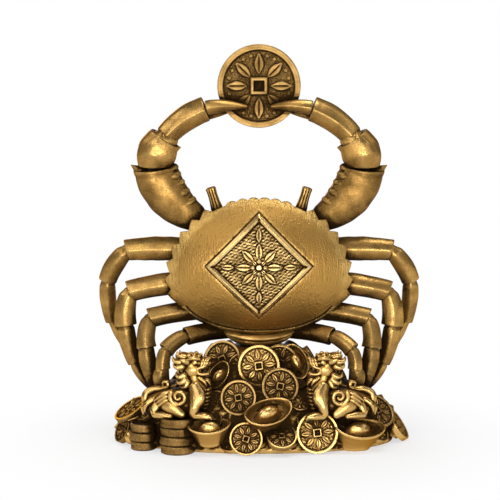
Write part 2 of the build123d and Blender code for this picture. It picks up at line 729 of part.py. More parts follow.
def make_ingot(length):
    """A boat-shaped ingot: a flared oval hull with a dished top and a dome in the middle."""
    breadth, depth = length * INGOT_BREADTH, length * INGOT_DEPTH
    half = Vector(length / 2, breadth / 2, depth)
    hull = loft(
        [
            Pos(0, 0, -depth * down) * Ellipse(half.X * share, half.Y * share)
            for down, share in INGOT_HULL
        ]
    )
    dish = ellipsoid(*(share * size for share, size in zip(INGOT_DISH, half)))
    dome = ellipsoid(*(share * size for share, size in zip(INGOT_DOME, half)))
    return largest(hull - dish + Pos(0, 0, -depth * INGOT_DOME_DOWN) * dome)


def place_ingot(bearing, height, out, yaw, lean, roll, length):
    """An ingot on the mound, its open top facing the yaw and lean."""
    return facing(on_mound(bearing, height, out), yaw, lean, roll) * make_ingot(length)


def place_coin(bearing, height, out, yaw, lean, spin, radius):
    """A coin set into the mound, facing the yaw and lean."""
    plane = facing(on_mound(bearing, height, out), yaw, lean, spin)
    return plane * cash_coin(radius, PILE_COIN_THICKNESS)


def place_stack(bearing, out, radius, count):
    """A stack of flat coins cast in one, standing against the mound's foot."""
    spot = on_mound(bearing, 0.0, out)
    rise = STACK_COIN_THICKNESS
    stack = Cylinder(radius - STACK_GROOVE, count * rise, align=STANDING)
    for i in range(count):
        edge = Pos(0, 0, i * rise + STACK_GROOVE / 2) * Cylinder(radius, rise - STACK_GROOVE, align=STANDING)
        stack = stack + edge
    return Pos(spot.X, spot.Y, 0) * largest(stack)


def make_pearl():
    """The round pearl at the mound's left end."""
    spot = on_mound(PEARL_BEARING, PEARL_HEIGHT, PEARL_OUT)
    return Pos(*spot) * Sphere(PEARL_RADIUS)


def build():
    """Every casting by the name of its node."""
    right, pile = {}, {}
    ground = make_ground()
    alcove = make_alcove()
    alcoves = [alcove, mirrored(alcove)]
    carapace, body, mound = make_carapace(), make_body(), coped(make_mound(ground), *alcoves)
    tail = coped(make_tail(), carapace, body, mound)
    coin = make_held_coin()
    eye, foot, way = make_eye()
    right["eye"], eye_socket = pinned(coped(eye, carapace), body, foot, -way, EYE_PIN, EYE_PIN_LENGTH)
    claw, arm_socket = make_claw(body, carapace, coin)
    right.update({f"claw_{piece}": solid for piece, solid in claw.items()})
    body_sockets, tail_sockets, mound_sockets = [eye_socket, arm_socket], [], []
    for i, name in enumerate(LEG_NAMES):
        on_tail = name == "leg_4"
        carrier, other = (tail, body) if on_tail else (body, tail)
        right[name], hip_socket, foot_socket = make_leg(i, carrier, mound, other, carapace)
        (tail_sockets if on_tail else body_sockets).append(hip_socket)
        mound_sockets.append(foot_socket)
    for sockets in (body_sockets, tail_sockets, mound_sockets):
        sockets += [mirrored(socket) for socket in sockets]
    seats = [ground, *alcoves, mound, tail]
    for name, place in INGOTS.items():
        pile[name] = coped(place_ingot(*place), *seats, *pile.values())
    for name, place in STACKS.items():
        pile[name] = coped(place_stack(*place), *seats, *pile.values())
    for name, place in PILE_COINS.items():
        pile[name] = coped(place_coin(*place), *seats, *pile.values())
    pile["pearl"] = coped(make_pearl(), *seats, *pile.values())
    pile["left_guardian"] = guardian_place() * make_guardian(ground)
    pile["right_guardian"] = mirrored(pile["left_guardian"])
    nodes = {f"right_{name}": solid for name, solid in right.items()}
    nodes.update({f"left_{name}": mirrored(solid) for name, solid in right.items()})
    nodes.update(pile)
    nodes.update(
        carapace=carapace,
        shell_plaque=make_plaque(),
        body_casting=socketed(body, body_sockets),
        tail_bands=socketed(tail, tail_sockets),
        held_coin=coin,
        mound=socketed(mound, mound_sockets),
    )
    return nodes


os.makedirs("parts", exist_ok=True)
for node, solid in build().items():
    export_step(solid, f"parts/{node}.step")
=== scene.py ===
"""Dresses the crab figurine: a cast-brass crab that holds a coin over a heap of coins and ingots.

Shapes are worked out in millimetres in the row's frame, and a mesh is stored in metres.
"""

import math

import bmesh
import bpy
import numpy as np
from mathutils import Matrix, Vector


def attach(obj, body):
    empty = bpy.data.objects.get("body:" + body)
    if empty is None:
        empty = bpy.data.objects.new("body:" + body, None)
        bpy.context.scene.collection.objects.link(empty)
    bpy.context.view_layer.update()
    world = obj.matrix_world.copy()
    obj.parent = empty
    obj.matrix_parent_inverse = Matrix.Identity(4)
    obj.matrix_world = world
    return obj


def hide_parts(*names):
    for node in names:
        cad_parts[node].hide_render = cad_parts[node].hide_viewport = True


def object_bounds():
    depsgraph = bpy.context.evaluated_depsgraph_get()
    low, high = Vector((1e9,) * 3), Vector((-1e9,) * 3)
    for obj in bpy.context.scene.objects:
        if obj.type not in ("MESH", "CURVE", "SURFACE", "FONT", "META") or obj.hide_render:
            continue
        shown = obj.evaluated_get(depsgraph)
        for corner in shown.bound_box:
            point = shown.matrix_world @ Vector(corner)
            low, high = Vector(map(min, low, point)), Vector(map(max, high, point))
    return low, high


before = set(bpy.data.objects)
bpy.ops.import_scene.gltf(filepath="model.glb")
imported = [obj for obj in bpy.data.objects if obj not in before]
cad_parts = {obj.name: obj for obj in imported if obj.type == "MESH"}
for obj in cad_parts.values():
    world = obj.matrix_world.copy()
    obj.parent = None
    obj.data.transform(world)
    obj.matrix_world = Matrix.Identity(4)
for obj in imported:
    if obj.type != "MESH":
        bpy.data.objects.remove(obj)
cad_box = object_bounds()

# The mound: the core of the heap, an oval hill of rough cast brass that carries everything.
# Half-buried coins cover it, cast in one with it, and its flat underside stands on the table.


def ring_skin(rings):
    """A closed skin through rings of points: quads between rings, and a fan over each end."""
    count, around, _ = rings.shape
    verts = np.vstack([rings.reshape(-1, 3), rings[[0, -1]].mean(axis=1)])
    row = np.arange(count - 1)[:, None] * around
    here = np.arange(around)[None, :]
    after = (here + 1) % around
    corners = [row + here, row + after, row + around + after, row + around + here]
    quads = np.stack(corners, axis=-1).reshape(-1, 4)
    end = (count - 1) * around
    first = np.stack([np.full(around, count * around), after[0], here[0]], axis=-1)
    last = np.stack([np.full(around, count * around + 1), end + here[0], end + after[0]], axis=-1)
    return verts, [quads, np.vstack([first, last])]


def joined(skins):
    """All skins in one: their vertices under each other, and the faces counted on from skin to skin."""
    faces = []
    start = 0
    for verts, groups in skins:
        for group in groups:
            faces += (group + start).tolist()
        start += len(verts)
    return np.vstack([verts for verts, _ in skins]), faces


MILLIMETRES_IN_METRE = 1000
castings = []


def cast_piece(node, skins, finish, down_and_back_shade=0.5):
    """One casting: its closed skins in one smooth mesh that stands for its CAD node. Its down and
    back shade says how strongly painted shade darkens the sides that face away or down."""
    mesh = bpy.data.meshes.new("dressed_" + node)
    points, faces = joined(skins)
    points = points / MILLIMETRES_IN_METRE
    points[:, 2] = np.maximum(points[:, 2], 0)
    mesh.from_pydata(points.tolist(), [], faces)
    outward = bmesh.new()
    outward.from_mesh(mesh)
    bmesh.ops.recalc_face_normals(outward, faces=outward.faces)
    outward.to_mesh(mesh)
    outward.free()
    mesh.shade_smooth()
    mesh.materials.append(finish)
    piece = bpy.data.objects.new("dressed_" + node, mesh)
    bpy.context.scene.collection.objects.link(piece)
    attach(piece, "root")
    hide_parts(node)
    castings.append((piece, down_and_back_shade))


def add_node(tree, kind, inputs, **settings):
    """A shader node of a kind with its settings. Each input takes a value, or a link from an output."""
    node = tree.nodes.new("ShaderNode" + kind)
    for name, value in settings.items():
        setattr(node, name, value)
    for socket, value in inputs.items():
        if isinstance(value, bpy.types.NodeSocket):
            tree.links.new(value, node.inputs[socket])
        else:
            node.inputs[socket].default_value = value
    return node


def patina_and_shade_group():
    """Dark wax left in the hollows of rubbed brass, and the grain of the casting under it.
    One attribute says where the dark colour goes: real wax in the hollows, and painted shade
    between, under and behind pieces. The rub attribute says where the rubbing cloth reached."""
    tree = bpy.data.node_groups.new("patina_and_shade", "ShaderNodeTree")
    colours = ("Rubbed", "Polished", "Wax", "Colour")
    given_names = ("Rubbed", "Polished", "Wax", "Wax level", "Grain", "Satin", "Bare metal", "Brushed")
    result_names = ("Colour", "Roughness", "Metal", "Height")
    for way, names in (("INPUT", given_names), ("OUTPUT", result_names)):
        for name in names:
            kind = "NodeSocketColor" if name in colours else "NodeSocketFloat"
            tree.interface.new_socket(name, in_out=way, socket_type=kind)
    given, result = tree.nodes.new("NodeGroupInput"), tree.nodes.new("NodeGroupOutput")
    place = add_node(tree, "TexCoord", {}).outputs["Object"]

    def number(operation, a, b, clamp=False):
        return add_node(tree, "Math", {0: a, 1: b}, operation=operation, use_clamp=clamp).outputs[0]

    def noise(scale, detail, stretch):
        stretched = add_node(tree, "Mapping", {"Scale": stretch, "Vector": place}).outputs["Vector"]
        inputs = {"Detail": detail, "Vector": stretched, "Scale": scale}
        return add_node(tree, "TexNoise", inputs).outputs["Fac"]

    def mixed(factor, a, b):
        inputs = {"Factor": factor, "A": a, "B": b}
        return add_node(tree, "Mix", inputs, data_type="RGBA").outputs["Result"]

    def attribute(name):
        return add_node(tree, "Attribute", {}, attribute_name=name).outputs["Fac"]

    # Blotches, grain and upright brush strokes make the edge of the wax uneven
    blotch = noise(140.0, 4.0, (1, 1, 1))
    grain = noise(given.outputs["Grain"], 3.0, (1, 1, 1))
    streak = number("SUBTRACT", noise(1500.0, 2.0, (1, 1, 0.06)), 0.5)
    streak = number("MULTIPLY", streak, given.outputs["Brushed"])
    pits = add_node(tree, "TexVoronoi", {"Scale": 900.0, "Vector": place})
    uneven = number("ADD", number("MULTIPLY", blotch, 0.7), number("MULTIPLY", grain, 0.5))
    uneven = number("ADD", uneven, streak)
    shift = number("SUBTRACT", given.outputs["Wax level"], 0.8)
    # The attribute read here is real wax in the hollows plus painted shade between, under and behind
    # pieces, so the wax colour paints that shade too
    level = number("ADD", number("ADD", attribute("hollow"), uneven), shift)
    wax = number("MULTIPLY", level, 1.5, clamp=True)
    wax = number("MINIMUM", wax, 0.96)
    # Where the wax is gone the ridges are polished, and the rest of the metal is only rubbed
    rubbed = number("MULTIPLY", attribute("rub"), number("SUBTRACT", 1.0, wax), clamp=True)
    metal_colour = mixed(rubbed, given.outputs["Rubbed"], given.outputs["Polished"])
    colour = mixed(wax, metal_colour, given.outputs["Wax"])
    rough = number("ADD", number("MULTIPLY", wax, 0.25), number("MULTIPLY", grain, 0.12))
    rough = number("ADD", rough, given.outputs["Satin"])
    rough = number("SUBTRACT", rough, number("MULTIPLY", rubbed, 0.08))
    bare = number("SUBTRACT", 1.0, number("MULTIPLY", wax, 0.7))
    metal = number("MULTIPLY", bare, given.outputs["Bare metal"])
    pitting = number("MULTIPLY", pits.outputs["Distance"], 0.5)
    relief = number("ADD", number("MULTIPLY", grain, 0.6), pitting)
    height = number("ADD", relief, streak)
    for name, value in zip(result_names, (colour, rough, metal, height)):
        tree.links.new(value, result.inputs[name])
    return tree


patina_and_shade = patina_and_shade_group()
# Dark wax colour: the real wax in the hollows, and also the painted shade laid with it
DARK_WAX_AND_SHADE = (0.010, 0.005, 0.002)


def brass_with_patina_and_shade(
    name, rubbed, polished, level, grain, bump, satin, wax=DARK_WAX_AND_SHADE, bare_metal=0.95, brushed=0.0
):
    """Brass with the wax patina, whose dark colour also paints shade: its own colours, how much wax
    and painted shade stays, how coarse its grain is and how strongly upright brush strokes mark it."""
    material = bpy.data.materials.new(name)
    material.use_nodes = True
    tree = material.node_tree
    shader = tree.nodes["Principled BSDF"]
    values = {"Rubbed": (*rubbed, 1), "Polished": (*polished, 1), "Wax": (*wax, 1),
              "Wax level": level, "Grain": grain, "Satin": satin, "Bare metal": bare_metal,
              "Brushed": brushed}
    patina = add_node(tree, "Group", values, node_tree=patina_and_shade)
    shader.inputs["Specular Tint"].default_value = (0.42, 0.25, 0.09, 1)
    shader.inputs["Specular IOR Level"].default_value = 0.12
    relief = {"Strength": bump, "Distance": 0.0003, "Height": patina.outputs["Height"]}
    height = add_node(tree, "Bump", relief)
    tree.links.new(patina.outputs["Colour"], shader.inputs["Base Color"])
    tree.links.new(patina.outputs["Roughness"], shader.inputs["Roughness"])
    tree.links.new(patina.outputs["Metal"], shader.inputs["Metallic"])
    tree.links.new(height.outputs["Normal"], shader.inputs["Normal"])
    return material


heap_brass = brass_with_patina_and_shade(
    "heap_brass", (0.42, 0.218, 0.054), (0.78, 0.49, 0.165),
    level=0.06, grain=1500.0, bump=0.5, satin=0.26,
)
# Height, half length and half depth of each oval tier of the mound
MOUND_TIERS = np.array(
    [(0, 69, 37), (9, 70, 38), (20, 63, 35), (30, 46, 28), (40, 31, 21.5), (47, 22, 15.5)]
)
MOUND_TOP = MOUND_TIERS[-1, 0]


def mound_radii(height):
    """Half length and half depth of the mound at a height, straight between its tiers."""
    tiers = MOUND_TIERS
    return np.interp(height, tiers[:, 0], tiers[:, 1]), np.interp(height, tiers[:, 0], tiers[:, 2])


def on_mound(bearing, height, out=0.0):
    """The point at a bearing in degrees from the front towards +X, that far out of the mound."""
    half_length, half_depth = mound_radii(height)
    turn = np.radians(bearing)
    return np.array([(half_length + out) * np.sin(turn), -(half_depth + out) * np.cos(turn), height])


def waves(points, scale, seed):
    """A smooth bumpy field from -1 to 1: the mean of six sines, each along a random way of its own."""
    count, full_turn = 6, 6.28
    ways = np.random.default_rng(seed).normal(size=(count, 3)) / scale
    phase = np.random.default_rng(seed + 1).uniform(0, full_turn, count)
    return np.sin(points @ ways.T * full_turn + phase).mean(axis=-1)


def even_turn(count):
    """The angles of that many even steps round, in radians."""
    return np.linspace(0, 2 * np.pi, count, endpoint=False)


def mound_skin():
    """Rings from the foot to the top, drawn in a little by a coarse and a fine field of lumps."""
    side_rings, top_rings, around = 60, 6, 220
    height = np.concatenate([np.linspace(0, MOUND_TOP, side_rings), np.full(top_rings, MOUND_TOP)])
    closing = np.concatenate([np.ones(side_rings), np.linspace(0.95, 0.02, top_rings)])
    turn = even_turn(around)
    half_length, half_depth = mound_radii(height)
    foot = 0.4 + 0.8 * np.exp(-height / 0.6)
    rings = np.stack(
        [
            ((half_length - foot) * closing)[:, None] * np.sin(turn),
            -((half_depth - foot) * closing)[:, None] * np.cos(turn),
            np.repeat(height[:, None], around, axis=1),
        ],
        axis=-1,
    )
    lumps = np.abs(waves(rings, 14.0, 3)) + 0.5 * np.abs(waves(rings, 6.0, 9))
    keep = 1 - 0.05 * lumps * np.minimum(1, height / 3)[:, None]
    rings[..., 0] *= keep
    rings[..., 1] *= keep
    return ring_skin(rings)


# The coins: round cash coins of brass, each with a raised rim, a raised square round a blind
# square hole and a ring of plain leaves on a stippled ground. Each is cast, and set into the mound.


def grid_skin(across, back, up):
    """The closed skin through rings of points whose three coordinates are given as grids."""
    return ring_skin(np.stack(np.broadcast_arrays(across, back, up), axis=-1))


def smooth_step(low, high, value):
    """0 below low, 1 above high and an S-curve between them."""
    share = np.clip((value - low) / (high - low), 0, 1)
    return share * share * (3 - 2 * share)


def hump(value, middle, half_width):
    """A smooth bump that is 1 at the middle: exp of -((value - middle) / half width)^2."""
    return np.exp(-(((value - middle) / half_width) ** 2))


def leaf_ring(across, up, radius, leaves, length, breadth):
    """Height of a ring of pointed leaves round the middle: each is the overlap of two arcs,
    |sideways| < breadth * (1 - (along / length)^2), with a groove along its middle."""
    turn = np.arctan2(up, across)
    spread = np.hypot(across, up)
    step = 2 * np.pi / leaves
    sideways = spread * np.sin((turn + step / 2) % step - step / 2)
    along = spread * np.cos((turn + step / 2) % step - step / 2) - radius
    edge = breadth * (1 - (along / length) ** 2) - np.abs(sideways)
    vein = 0.45 * hump(sideways, 0, 0.18 * breadth)
    return smooth_step(0, 0.3 * breadth, edge) * (1 - vein)


def coin_relief(across, up, radius):
    """Height of a coin's face over its field, as a share of its relief: rim, square and leaves."""
    spread = np.hypot(across, up)
    hole = 0.115 * radius
    frame_edge = 0.205 * radius
    square = np.maximum(np.abs(across), np.abs(up))
    soft = 0.022 * radius
    rim = smooth_step(0.86 * radius - soft, 0.86 * radius + soft, spread)
    outside_hole = smooth_step(hole - soft, hole + soft, square)
    ring = outside_hole * (1 - smooth_step(frame_edge - soft, frame_edge + soft, square))
    sunk = 1 - outside_hole
    leaves = leaf_ring(across, up, 0.53 * radius, 8, 0.27 * radius, 0.13 * radius)
    bead = leaf_ring(across, up, 0.74 * radius, 24, 0.05 * radius, 0.05 * radius)
    raised = np.maximum(np.maximum(rim, ring), np.maximum(0.85 * leaves, 0.5 * bead))
    ground = waves(np.stack([across, up, 0 * up], axis=-1), 0.09 * radius**0.75, 41)
    stipple = 0.45 * ground * (1 - raised)
    return raised + stipple - 0.8 * sunk


def coin_skin(radius, thickness, relief, rings=40, around=144, back_rings=20):
    """A coin about its own middle, facing +Z: a polar grid over the front, round the edge and back."""
    front, back = np.linspace(0.01, 0.965, rings), np.linspace(0.965, 0.01, back_rings)
    edge = [0.985, 0.997, 1.0, 1.0, 0.997, 0.985]
    fillet = np.array([0.0, -0.03, -0.1, -0.9, -0.97, -1.0])
    spread = np.concatenate([front, edge, back])
    turn = even_turn(around)
    across = radius * spread[:, None] * np.cos(turn)
    up = radius * spread[:, None] * np.sin(turn)
    height = np.empty_like(across)
    face = relief * (coin_relief(across, up, radius) - 1)
    height[:rings] = thickness / 2 + face[:rings]
    over = rings + len(edge)
    height[rings:over] = thickness / 2 + (thickness * fillet)[:, None]
    height[over:] = -thickness / 2 - face[over:]
    return grid_skin(across, up, height)


def moved(skin, origin, axes):
    """The skin with its X, Y and Z laid along three axes from an origin."""
    verts, faces = skin
    return np.asarray(origin) + verts @ np.asarray(axes), faces


def facing(yaw, lean, spin):
    """Axes of a piece whose Z faces the yaw from the front and leans up, spun about that Z."""
    turn, rise, roll = np.radians([yaw, lean, spin])
    normal = np.array([np.sin(turn) * np.cos(rise), -np.cos(turn) * np.cos(rise), np.sin(rise)])
    level = np.array([np.cos(turn), np.sin(turn), 0])
    upward = np.cross(normal, level)
    first = np.cos(roll) * level + np.sin(roll) * upward
    return np.array([first, np.cross(normal, first), normal])


coin_brass = brass_with_patina_and_shade(
    "coin_brass", (0.44, 0.232, 0.058), (0.74, 0.47, 0.16),
    level=-0.04, grain=2400.0, bump=0.3, satin=0.26,
)
dull_coin_brass = brass_with_patina_and_shade(
    "dull_coin_brass", (0.38, 0.195, 0.050), (0.52, 0.32, 0.11),
    level=0.12, grain=2400.0, bump=0.3, satin=0.28,
)
BRIGHT_COINS = ("coin_centre", "coin_front_right", "coin_right_end", "coin_back_middle")
COIN_THICKNESS = 3.0
COIN_RELIEF = 0.7
# Bearing and height on the mound, how far out of it, yaw, lean and spin of the face, and radius
PILE_COINS = {
    "coin_centre": (0.0, 41.5, 2.6, -4.0, 12.0, 8.0, 10.4),
    "coin_upper_left": (-43.0, 43.0, -0.6, -18.0, 16.0, 30.0, 9.6),
    "coin_upper_right": (21.0, 42.0, 0.0, 10.0, 14.0, -20.0, 9.4),
    "coin_lower_left": (-11.0, 27.0, 1.6, -6.0, 18.0, 12.0, 8.8),
    "coin_lower_right": (13.5, 32.0, 1.2, 10.0, 14.0, -14.0, 9.2),
    "coin_front_left": (-5.0, 8.4, 1.6, -6.0, 6.0, -16.0, 8.2),
    "coin_front_right": (24.0, 10.6, 1.2, 8.0, 8.0, 6.0, 10.4),
    "coin_front_slab": (9.0, 9.0, 0.6, 4.0, 46.0, 4.0, 7.6),
    "coin_right_side": (66.0, 17.0, -0.4, 40.0, 42.0, 20.0, 9.6),
    "coin_right_end": (84.0, 8.0, 0.2, 78.0, 34.0, 0.0, 9.0),
    "coin_left_side": (-80.0, 16.0, 0.0, -66.0, 56.0, 0.0, 9.2),
    "coin_left_end": (-74.0, 6.5, 1.0, -62.0, 24.0, 0.0, 6.6),
    "coin_back_left": (-150.0, 24.0, 0.8, -160.0, 30.0, 10.0, 9.6),
    "coin_back_middle": (178.0, 34.0, 1.0, 176.0, 24.0, -8.0, 10.0),
    "coin_back_right": (146.0, 12.0, 0.8, 150.0, 14.0, 18.0, 9.6),
    "coin_back_low": (-168.0, 9.0, 1.0, -170.0, 10.0, 0.0, 8.6),
}
for node, (bearing, height, out, yaw, lean, spin, radius) in PILE_COINS.items():
    spot = on_mound(bearing, height, out)
    skin = moved(coin_skin(radius, COIN_THICKNESS, COIN_RELIEF), spot, facing(yaw, lean, spin))
    cast_piece(node, [skin], coin_brass if node in BRIGHT_COINS else dull_coin_brass)

# The coins half sunk in the mound are cast in one with it: larger ones in rows round its sides and
# back, and small ones, set deeper, between the loose pieces at the front.
SUNK_RADIUS = 7.0
SUNK_APART = 3.5
# Height of a row, how many coins would go all the way round, and the bearings that it keeps a side
SUNK_ROWS = (
    (9.0, 18, 70.0, 180.0), (22.0, 13, 140.0, 180.0), (33.0, 10, 100.0, 180.0), (42.0, 9, 110.0, 180.0),
)
sunk = []
for height, count, first, last in SUNK_ROWS:
    for bearing in np.arange(count) * 360 / count - 180:
        spot = on_mound(bearing, height)
        apart = [
            np.linalg.norm(spot - on_mound(*place[:2])) - place[-1] for place in PILE_COINS.values()
        ]
        if first <= abs(bearing) <= last and min(apart) > SUNK_APART:
            yaw = bearing + 14.0 * math.sin(math.radians(2 * bearing))
            lean = 30.0 + 14.0 * math.cos(math.radians(3 * bearing))
            coin = coin_skin(SUNK_RADIUS, COIN_THICKNESS, COIN_RELIEF, rings=17, around=56, back_rings=2)
            sunk.append(moved(coin, spot, facing(yaw, lean, 5 * bearing)))
SMALL_THICKNESS = 2.6
SMALL_RELIEF = 0.6
SMALL_SINK = 1.8
chance = np.random.default_rng(21)
for height, count in ((7, 13), (15, 11), (24, 9), (33, 7), (42, 6)):
    for bearing in np.linspace(-96, 96, count) + chance.uniform(-5, 5, count):
        lean, spin, yaw = chance.uniform((15, 0, -20), (55, 90, 20))
        spot = on_mound(bearing, height + chance.uniform(-1.5, 1.5), -SMALL_SINK)
        radius = chance.uniform(5.0, 6.4)
        coin = coin_skin(radius, SMALL_THICKNESS, SMALL_RELIEF, rings=14, around=52, back_rings=2)
        sunk.append(moved(coin, spot, facing(bearing + yaw, lean, spin)))
cast_piece("mound", [mound_skin(), *sunk], heap_brass)

# The coin stacks: short columns of flat coins with rounded edges, each column one brass casting.
# They stand on the table, let into the foot of the mound.


def stack_skin(radius, count, rise):
    """A turned column: at the share s of a coin's height its edge lies 0.8 |2 s - 1|^9 inside the
    radius, so that a groove parts it from the next."""
    share = 0.5 + 0.5 * np.sin(np.linspace(-np.pi / 2, np.pi / 2, 15))
    edge = radius - 0.8 * (2 * np.abs(share - 0.5)) ** 9
    profile = [(radius * s, 0.0) for s in (0.02, 0.5, 0.9)]
    for i in range(count):
        wander = 0.25 * math.sin(2.3 * i)
        profile += [(r + wander, (i + s) * rise) for r, s in zip(edge, share)]
    top = count * rise
    profile += [(radius * 0.86, top), (radius * 0.8, top - 0.5), (radius * 0.02, top - 0.5)]
    spread, height = np.array(profile).T
    turn = even_turn(120)
    sway = 0.3 * np.sin(height * 0.9)[:, None]
    across = spread[:, None] * np.cos(turn) + sway
    back = spread[:, None] * np.sin(turn)
    return grid_skin(across, back, height[:, None])


stack_brass = brass_with_patina_and_shade(
    "stack_brass", (0.40, 0.208, 0.052), (0.60, 0.37, 0.125),
    level=0.56, grain=1500.0, bump=0.5, satin=0.3,
)
STACK_RISE = 4.4
STACK_SLACK = 0.3
# Bearing, how far out of the mound, radius and count of the coins
STACKS = {
    "coin_stack_outer": (-53.0, 3.0, 6.8, 3),
    "coin_stack_inner": (-34.5, 2.0, 8.8, 4),
    "coin_stack_back": (118.0, 2.0, 8.0, 3),
}
for node, (bearing, out, radius, count) in STACKS.items():
    column = stack_skin(radius - STACK_SLACK, count, STACK_RISE)
    cast_piece(node, [moved(column, on_mound(bearing, 0.0, out), np.eye(3))], stack_brass)

# The ingots: boat-shaped, with a flared hull, an oval rim that rises at both ends, a dished
# top and a dome in the middle. Cast brass, half sunk in the heap.


def refined(profile, count):
    """The columns of a profile at that many even steps along it, straight between its points."""
    place = np.linspace(0, len(profile) - 1, count)
    return (np.interp(place, np.arange(len(profile)), column)[:, None] for column in np.array(profile).T)


def ingot_skin(length):
    """An oval boat: one profile of spread and height carried round, and lifted towards both ends by
    spread^3 times (cos^2 of the turn - 0.75)."""
    breadth, depth = 0.62 * length, 0.5 * length
    spread, height = refined(
        [
            (0.02, -1.0), (0.3, -1.0), (0.48, -0.97), (0.56, -0.88), (0.66, -0.66), (0.8, -0.36),
            (0.93, -0.1), (0.985, -0.01), (1.0, 0.03), (0.99, 0.07), (0.96, 0.085), (0.92, 0.06),
            (0.86, -0.06), (0.78, -0.2), (0.68, -0.28), (0.6, -0.29), (0.54, -0.24), (0.48, -0.12),
            (0.4, 0.02), (0.28, 0.14), (0.14, 0.2), (0.02, 0.215),
        ],
        66,
    )
    turn = even_turn(120)
    lift = 0.06 * length * spread**3 * (np.cos(turn) ** 2 - 0.75)
    across = 0.5 * length * spread * np.cos(turn)
    back = 0.5 * breadth * spread * np.sin(turn)
    return grid_skin(across, back, height * depth + lift)


ingot_brass = brass_with_patina_and_shade(
    "ingot_brass", (0.44, 0.232, 0.058), (0.76, 0.48, 0.165),
    level=-0.48, grain=1900.0, bump=0.3, satin=0.28,
)
INGOT_SLACK = 0.4
# Bearing and height on the mound, how far out of it, yaw, lean and roll of the dish, and length
INGOTS = {
    "ingot_front": (4.0, 21.6, 4.4, 8.0, 52.0, 22.0, 26.0),
    "ingot_left_front": (-20.0, 14.6, 4.8, -10.0, 70.0, 14.0, 22.0),
    "ingot_right_front": (43.0, 12.0, 4.6, 22.0, 64.0, -10.0, 27.0),
    "ingot_left_end": (-76.0, 13.5, 0.8, -50.0, 74.0, 8.0, 16.0),
    "ingot_left_upright": (-33.0, 36.5, 1.6, -30.0, 20.0, 58.0, 17.0),
    "ingot_right_upright": (36.0, 43.0, 4.2, -12.0, 10.0, -64.0, 19.0),
    "ingot_back": (168.0, 19.0, 4.0, 168.0, 56.0, -12.0, 24.0),
}
for node, (bearing, height, out, yaw, lean, roll, length) in INGOTS.items():
    spot = on_mound(bearing, height, out)
    skin = moved(ingot_skin(length - INGOT_SLACK), spot, facing(yaw, lean, roll))
    cast_piece(node, [skin], ingot_brass)

# The pearl: a round ball cast in brass, at the left end of the heap. It sits a little way in the
# side of the mound, near the table.


def ball_skin(centre, half_sizes, rings=24, around=32):
    """An ellipsoid: latitude rings of cos and sin scaled along three axes."""
    rise = np.linspace(-np.pi / 2 + 0.04, np.pi / 2 - 0.04, rings)[:, None]
    turn = even_turn(around)
    verts, faces = grid_skin(np.cos(rise) * np.cos(turn), np.cos(rise) * np.sin(turn), np.sin(rise))
    return np.asarray(centre) + verts * np.asarray(half_sizes), faces


PEARL_RADIUS = 3.7
PEARL_SPOT = on_mound(-64.0, 4.4, 1.5)
cast_piece("pearl", [ball_skin(PEARL_SPOT, [PEARL_RADIUS] * 3)], heap_brass)

# The guardians: two small winged lion-dogs, cast solid in brass, that sit on the heap and face its
# middle. Each has a curled mane, open jaws, feathered wings and a tail curled over its back.


def tube_skin(path, thickness, depth=None, around=20, steps=28):
    """A tube along a smooth path through points: an oval section whose half sizes follow the path.
    The path and sizes are Catmull-Rom curves through the points, and both ends are rounded off."""
    points = np.column_stack([np.asarray(path, float), thickness, thickness if depth is None else depth])
    padded = np.vstack([2 * points[0] - points[1], points, 2 * points[-1] - points[-2]])
    place = np.linspace(0, len(points) - 1, steps)
    piece = np.minimum(place.astype(int), len(points) - 2)
    t = (place - piece)[:, None]
    a, b, c, d = (padded[piece + k] for k in range(4))
    squared, cubed = 2 * a - 5 * b + 4 * c - d, 3 * b - a - 3 * c + d
    curve = 0.5 * (2 * b + (c - a) * t + squared * t**2 + cubed * t**3)
    centre, half = curve[:, :3], np.maximum(curve[:, 3:], 0.05)
    along = np.gradient(centre, axis=0)
    along /= np.linalg.norm(along, axis=1)[:, None]
    side = np.cross(along, [0.0, 1.0, 0.0])
    side /= np.linalg.norm(side, axis=1)[:, None] + 1e-9
    over = np.cross(side, along)
    cap = np.array([0.98, 0.85, 0.5])
    before = centre[0] - along[0] * half[0, :1] * cap[:, None] * 0.9
    after = centre[-1] + along[-1] * half[-1, :1] * cap[::-1, None] * 0.9
    centre = np.vstack([before, centre, after])
    shrink = np.sqrt(1 - cap**2)[:, None]
    half = np.vstack([half[0] * shrink, half, half[-1] * shrink[::-1]])
    side = np.vstack([side[:1].repeat(3, 0), side, side[-1:].repeat(3, 0)])
    over = np.vstack([over[:1].repeat(3, 0), over, over[-1:].repeat(3, 0)])
    turn = even_turn(around)
    rings = (
        centre[:, None]
        + half[:, None, :1] * np.cos(turn)[None, :, None] * side[:, None]
        + half[:, None, 1:] * np.sin(turn)[None, :, None] * over[:, None]
    )
    return ring_skin(rings)


def curl_skin(centre, radius, thickness, turns, start):
    """A spiral lock that lies across the beast's side: a tube whose radius shrinks with its angle."""
    angle = np.linspace(0, 2 * np.pi * turns, 14)
    spread = radius * (1 - 0.8 * angle / angle[-1])
    lift = 0.25 * thickness * angle / angle[-1]
    flat = np.stack([spread * np.cos(angle + start), lift, spread * np.sin(angle + start)], axis=-1)
    size = thickness * (1 - 0.35 * angle / angle[-1])
    return tube_skin(np.asarray(centre) + flat, size, around=10, steps=36)


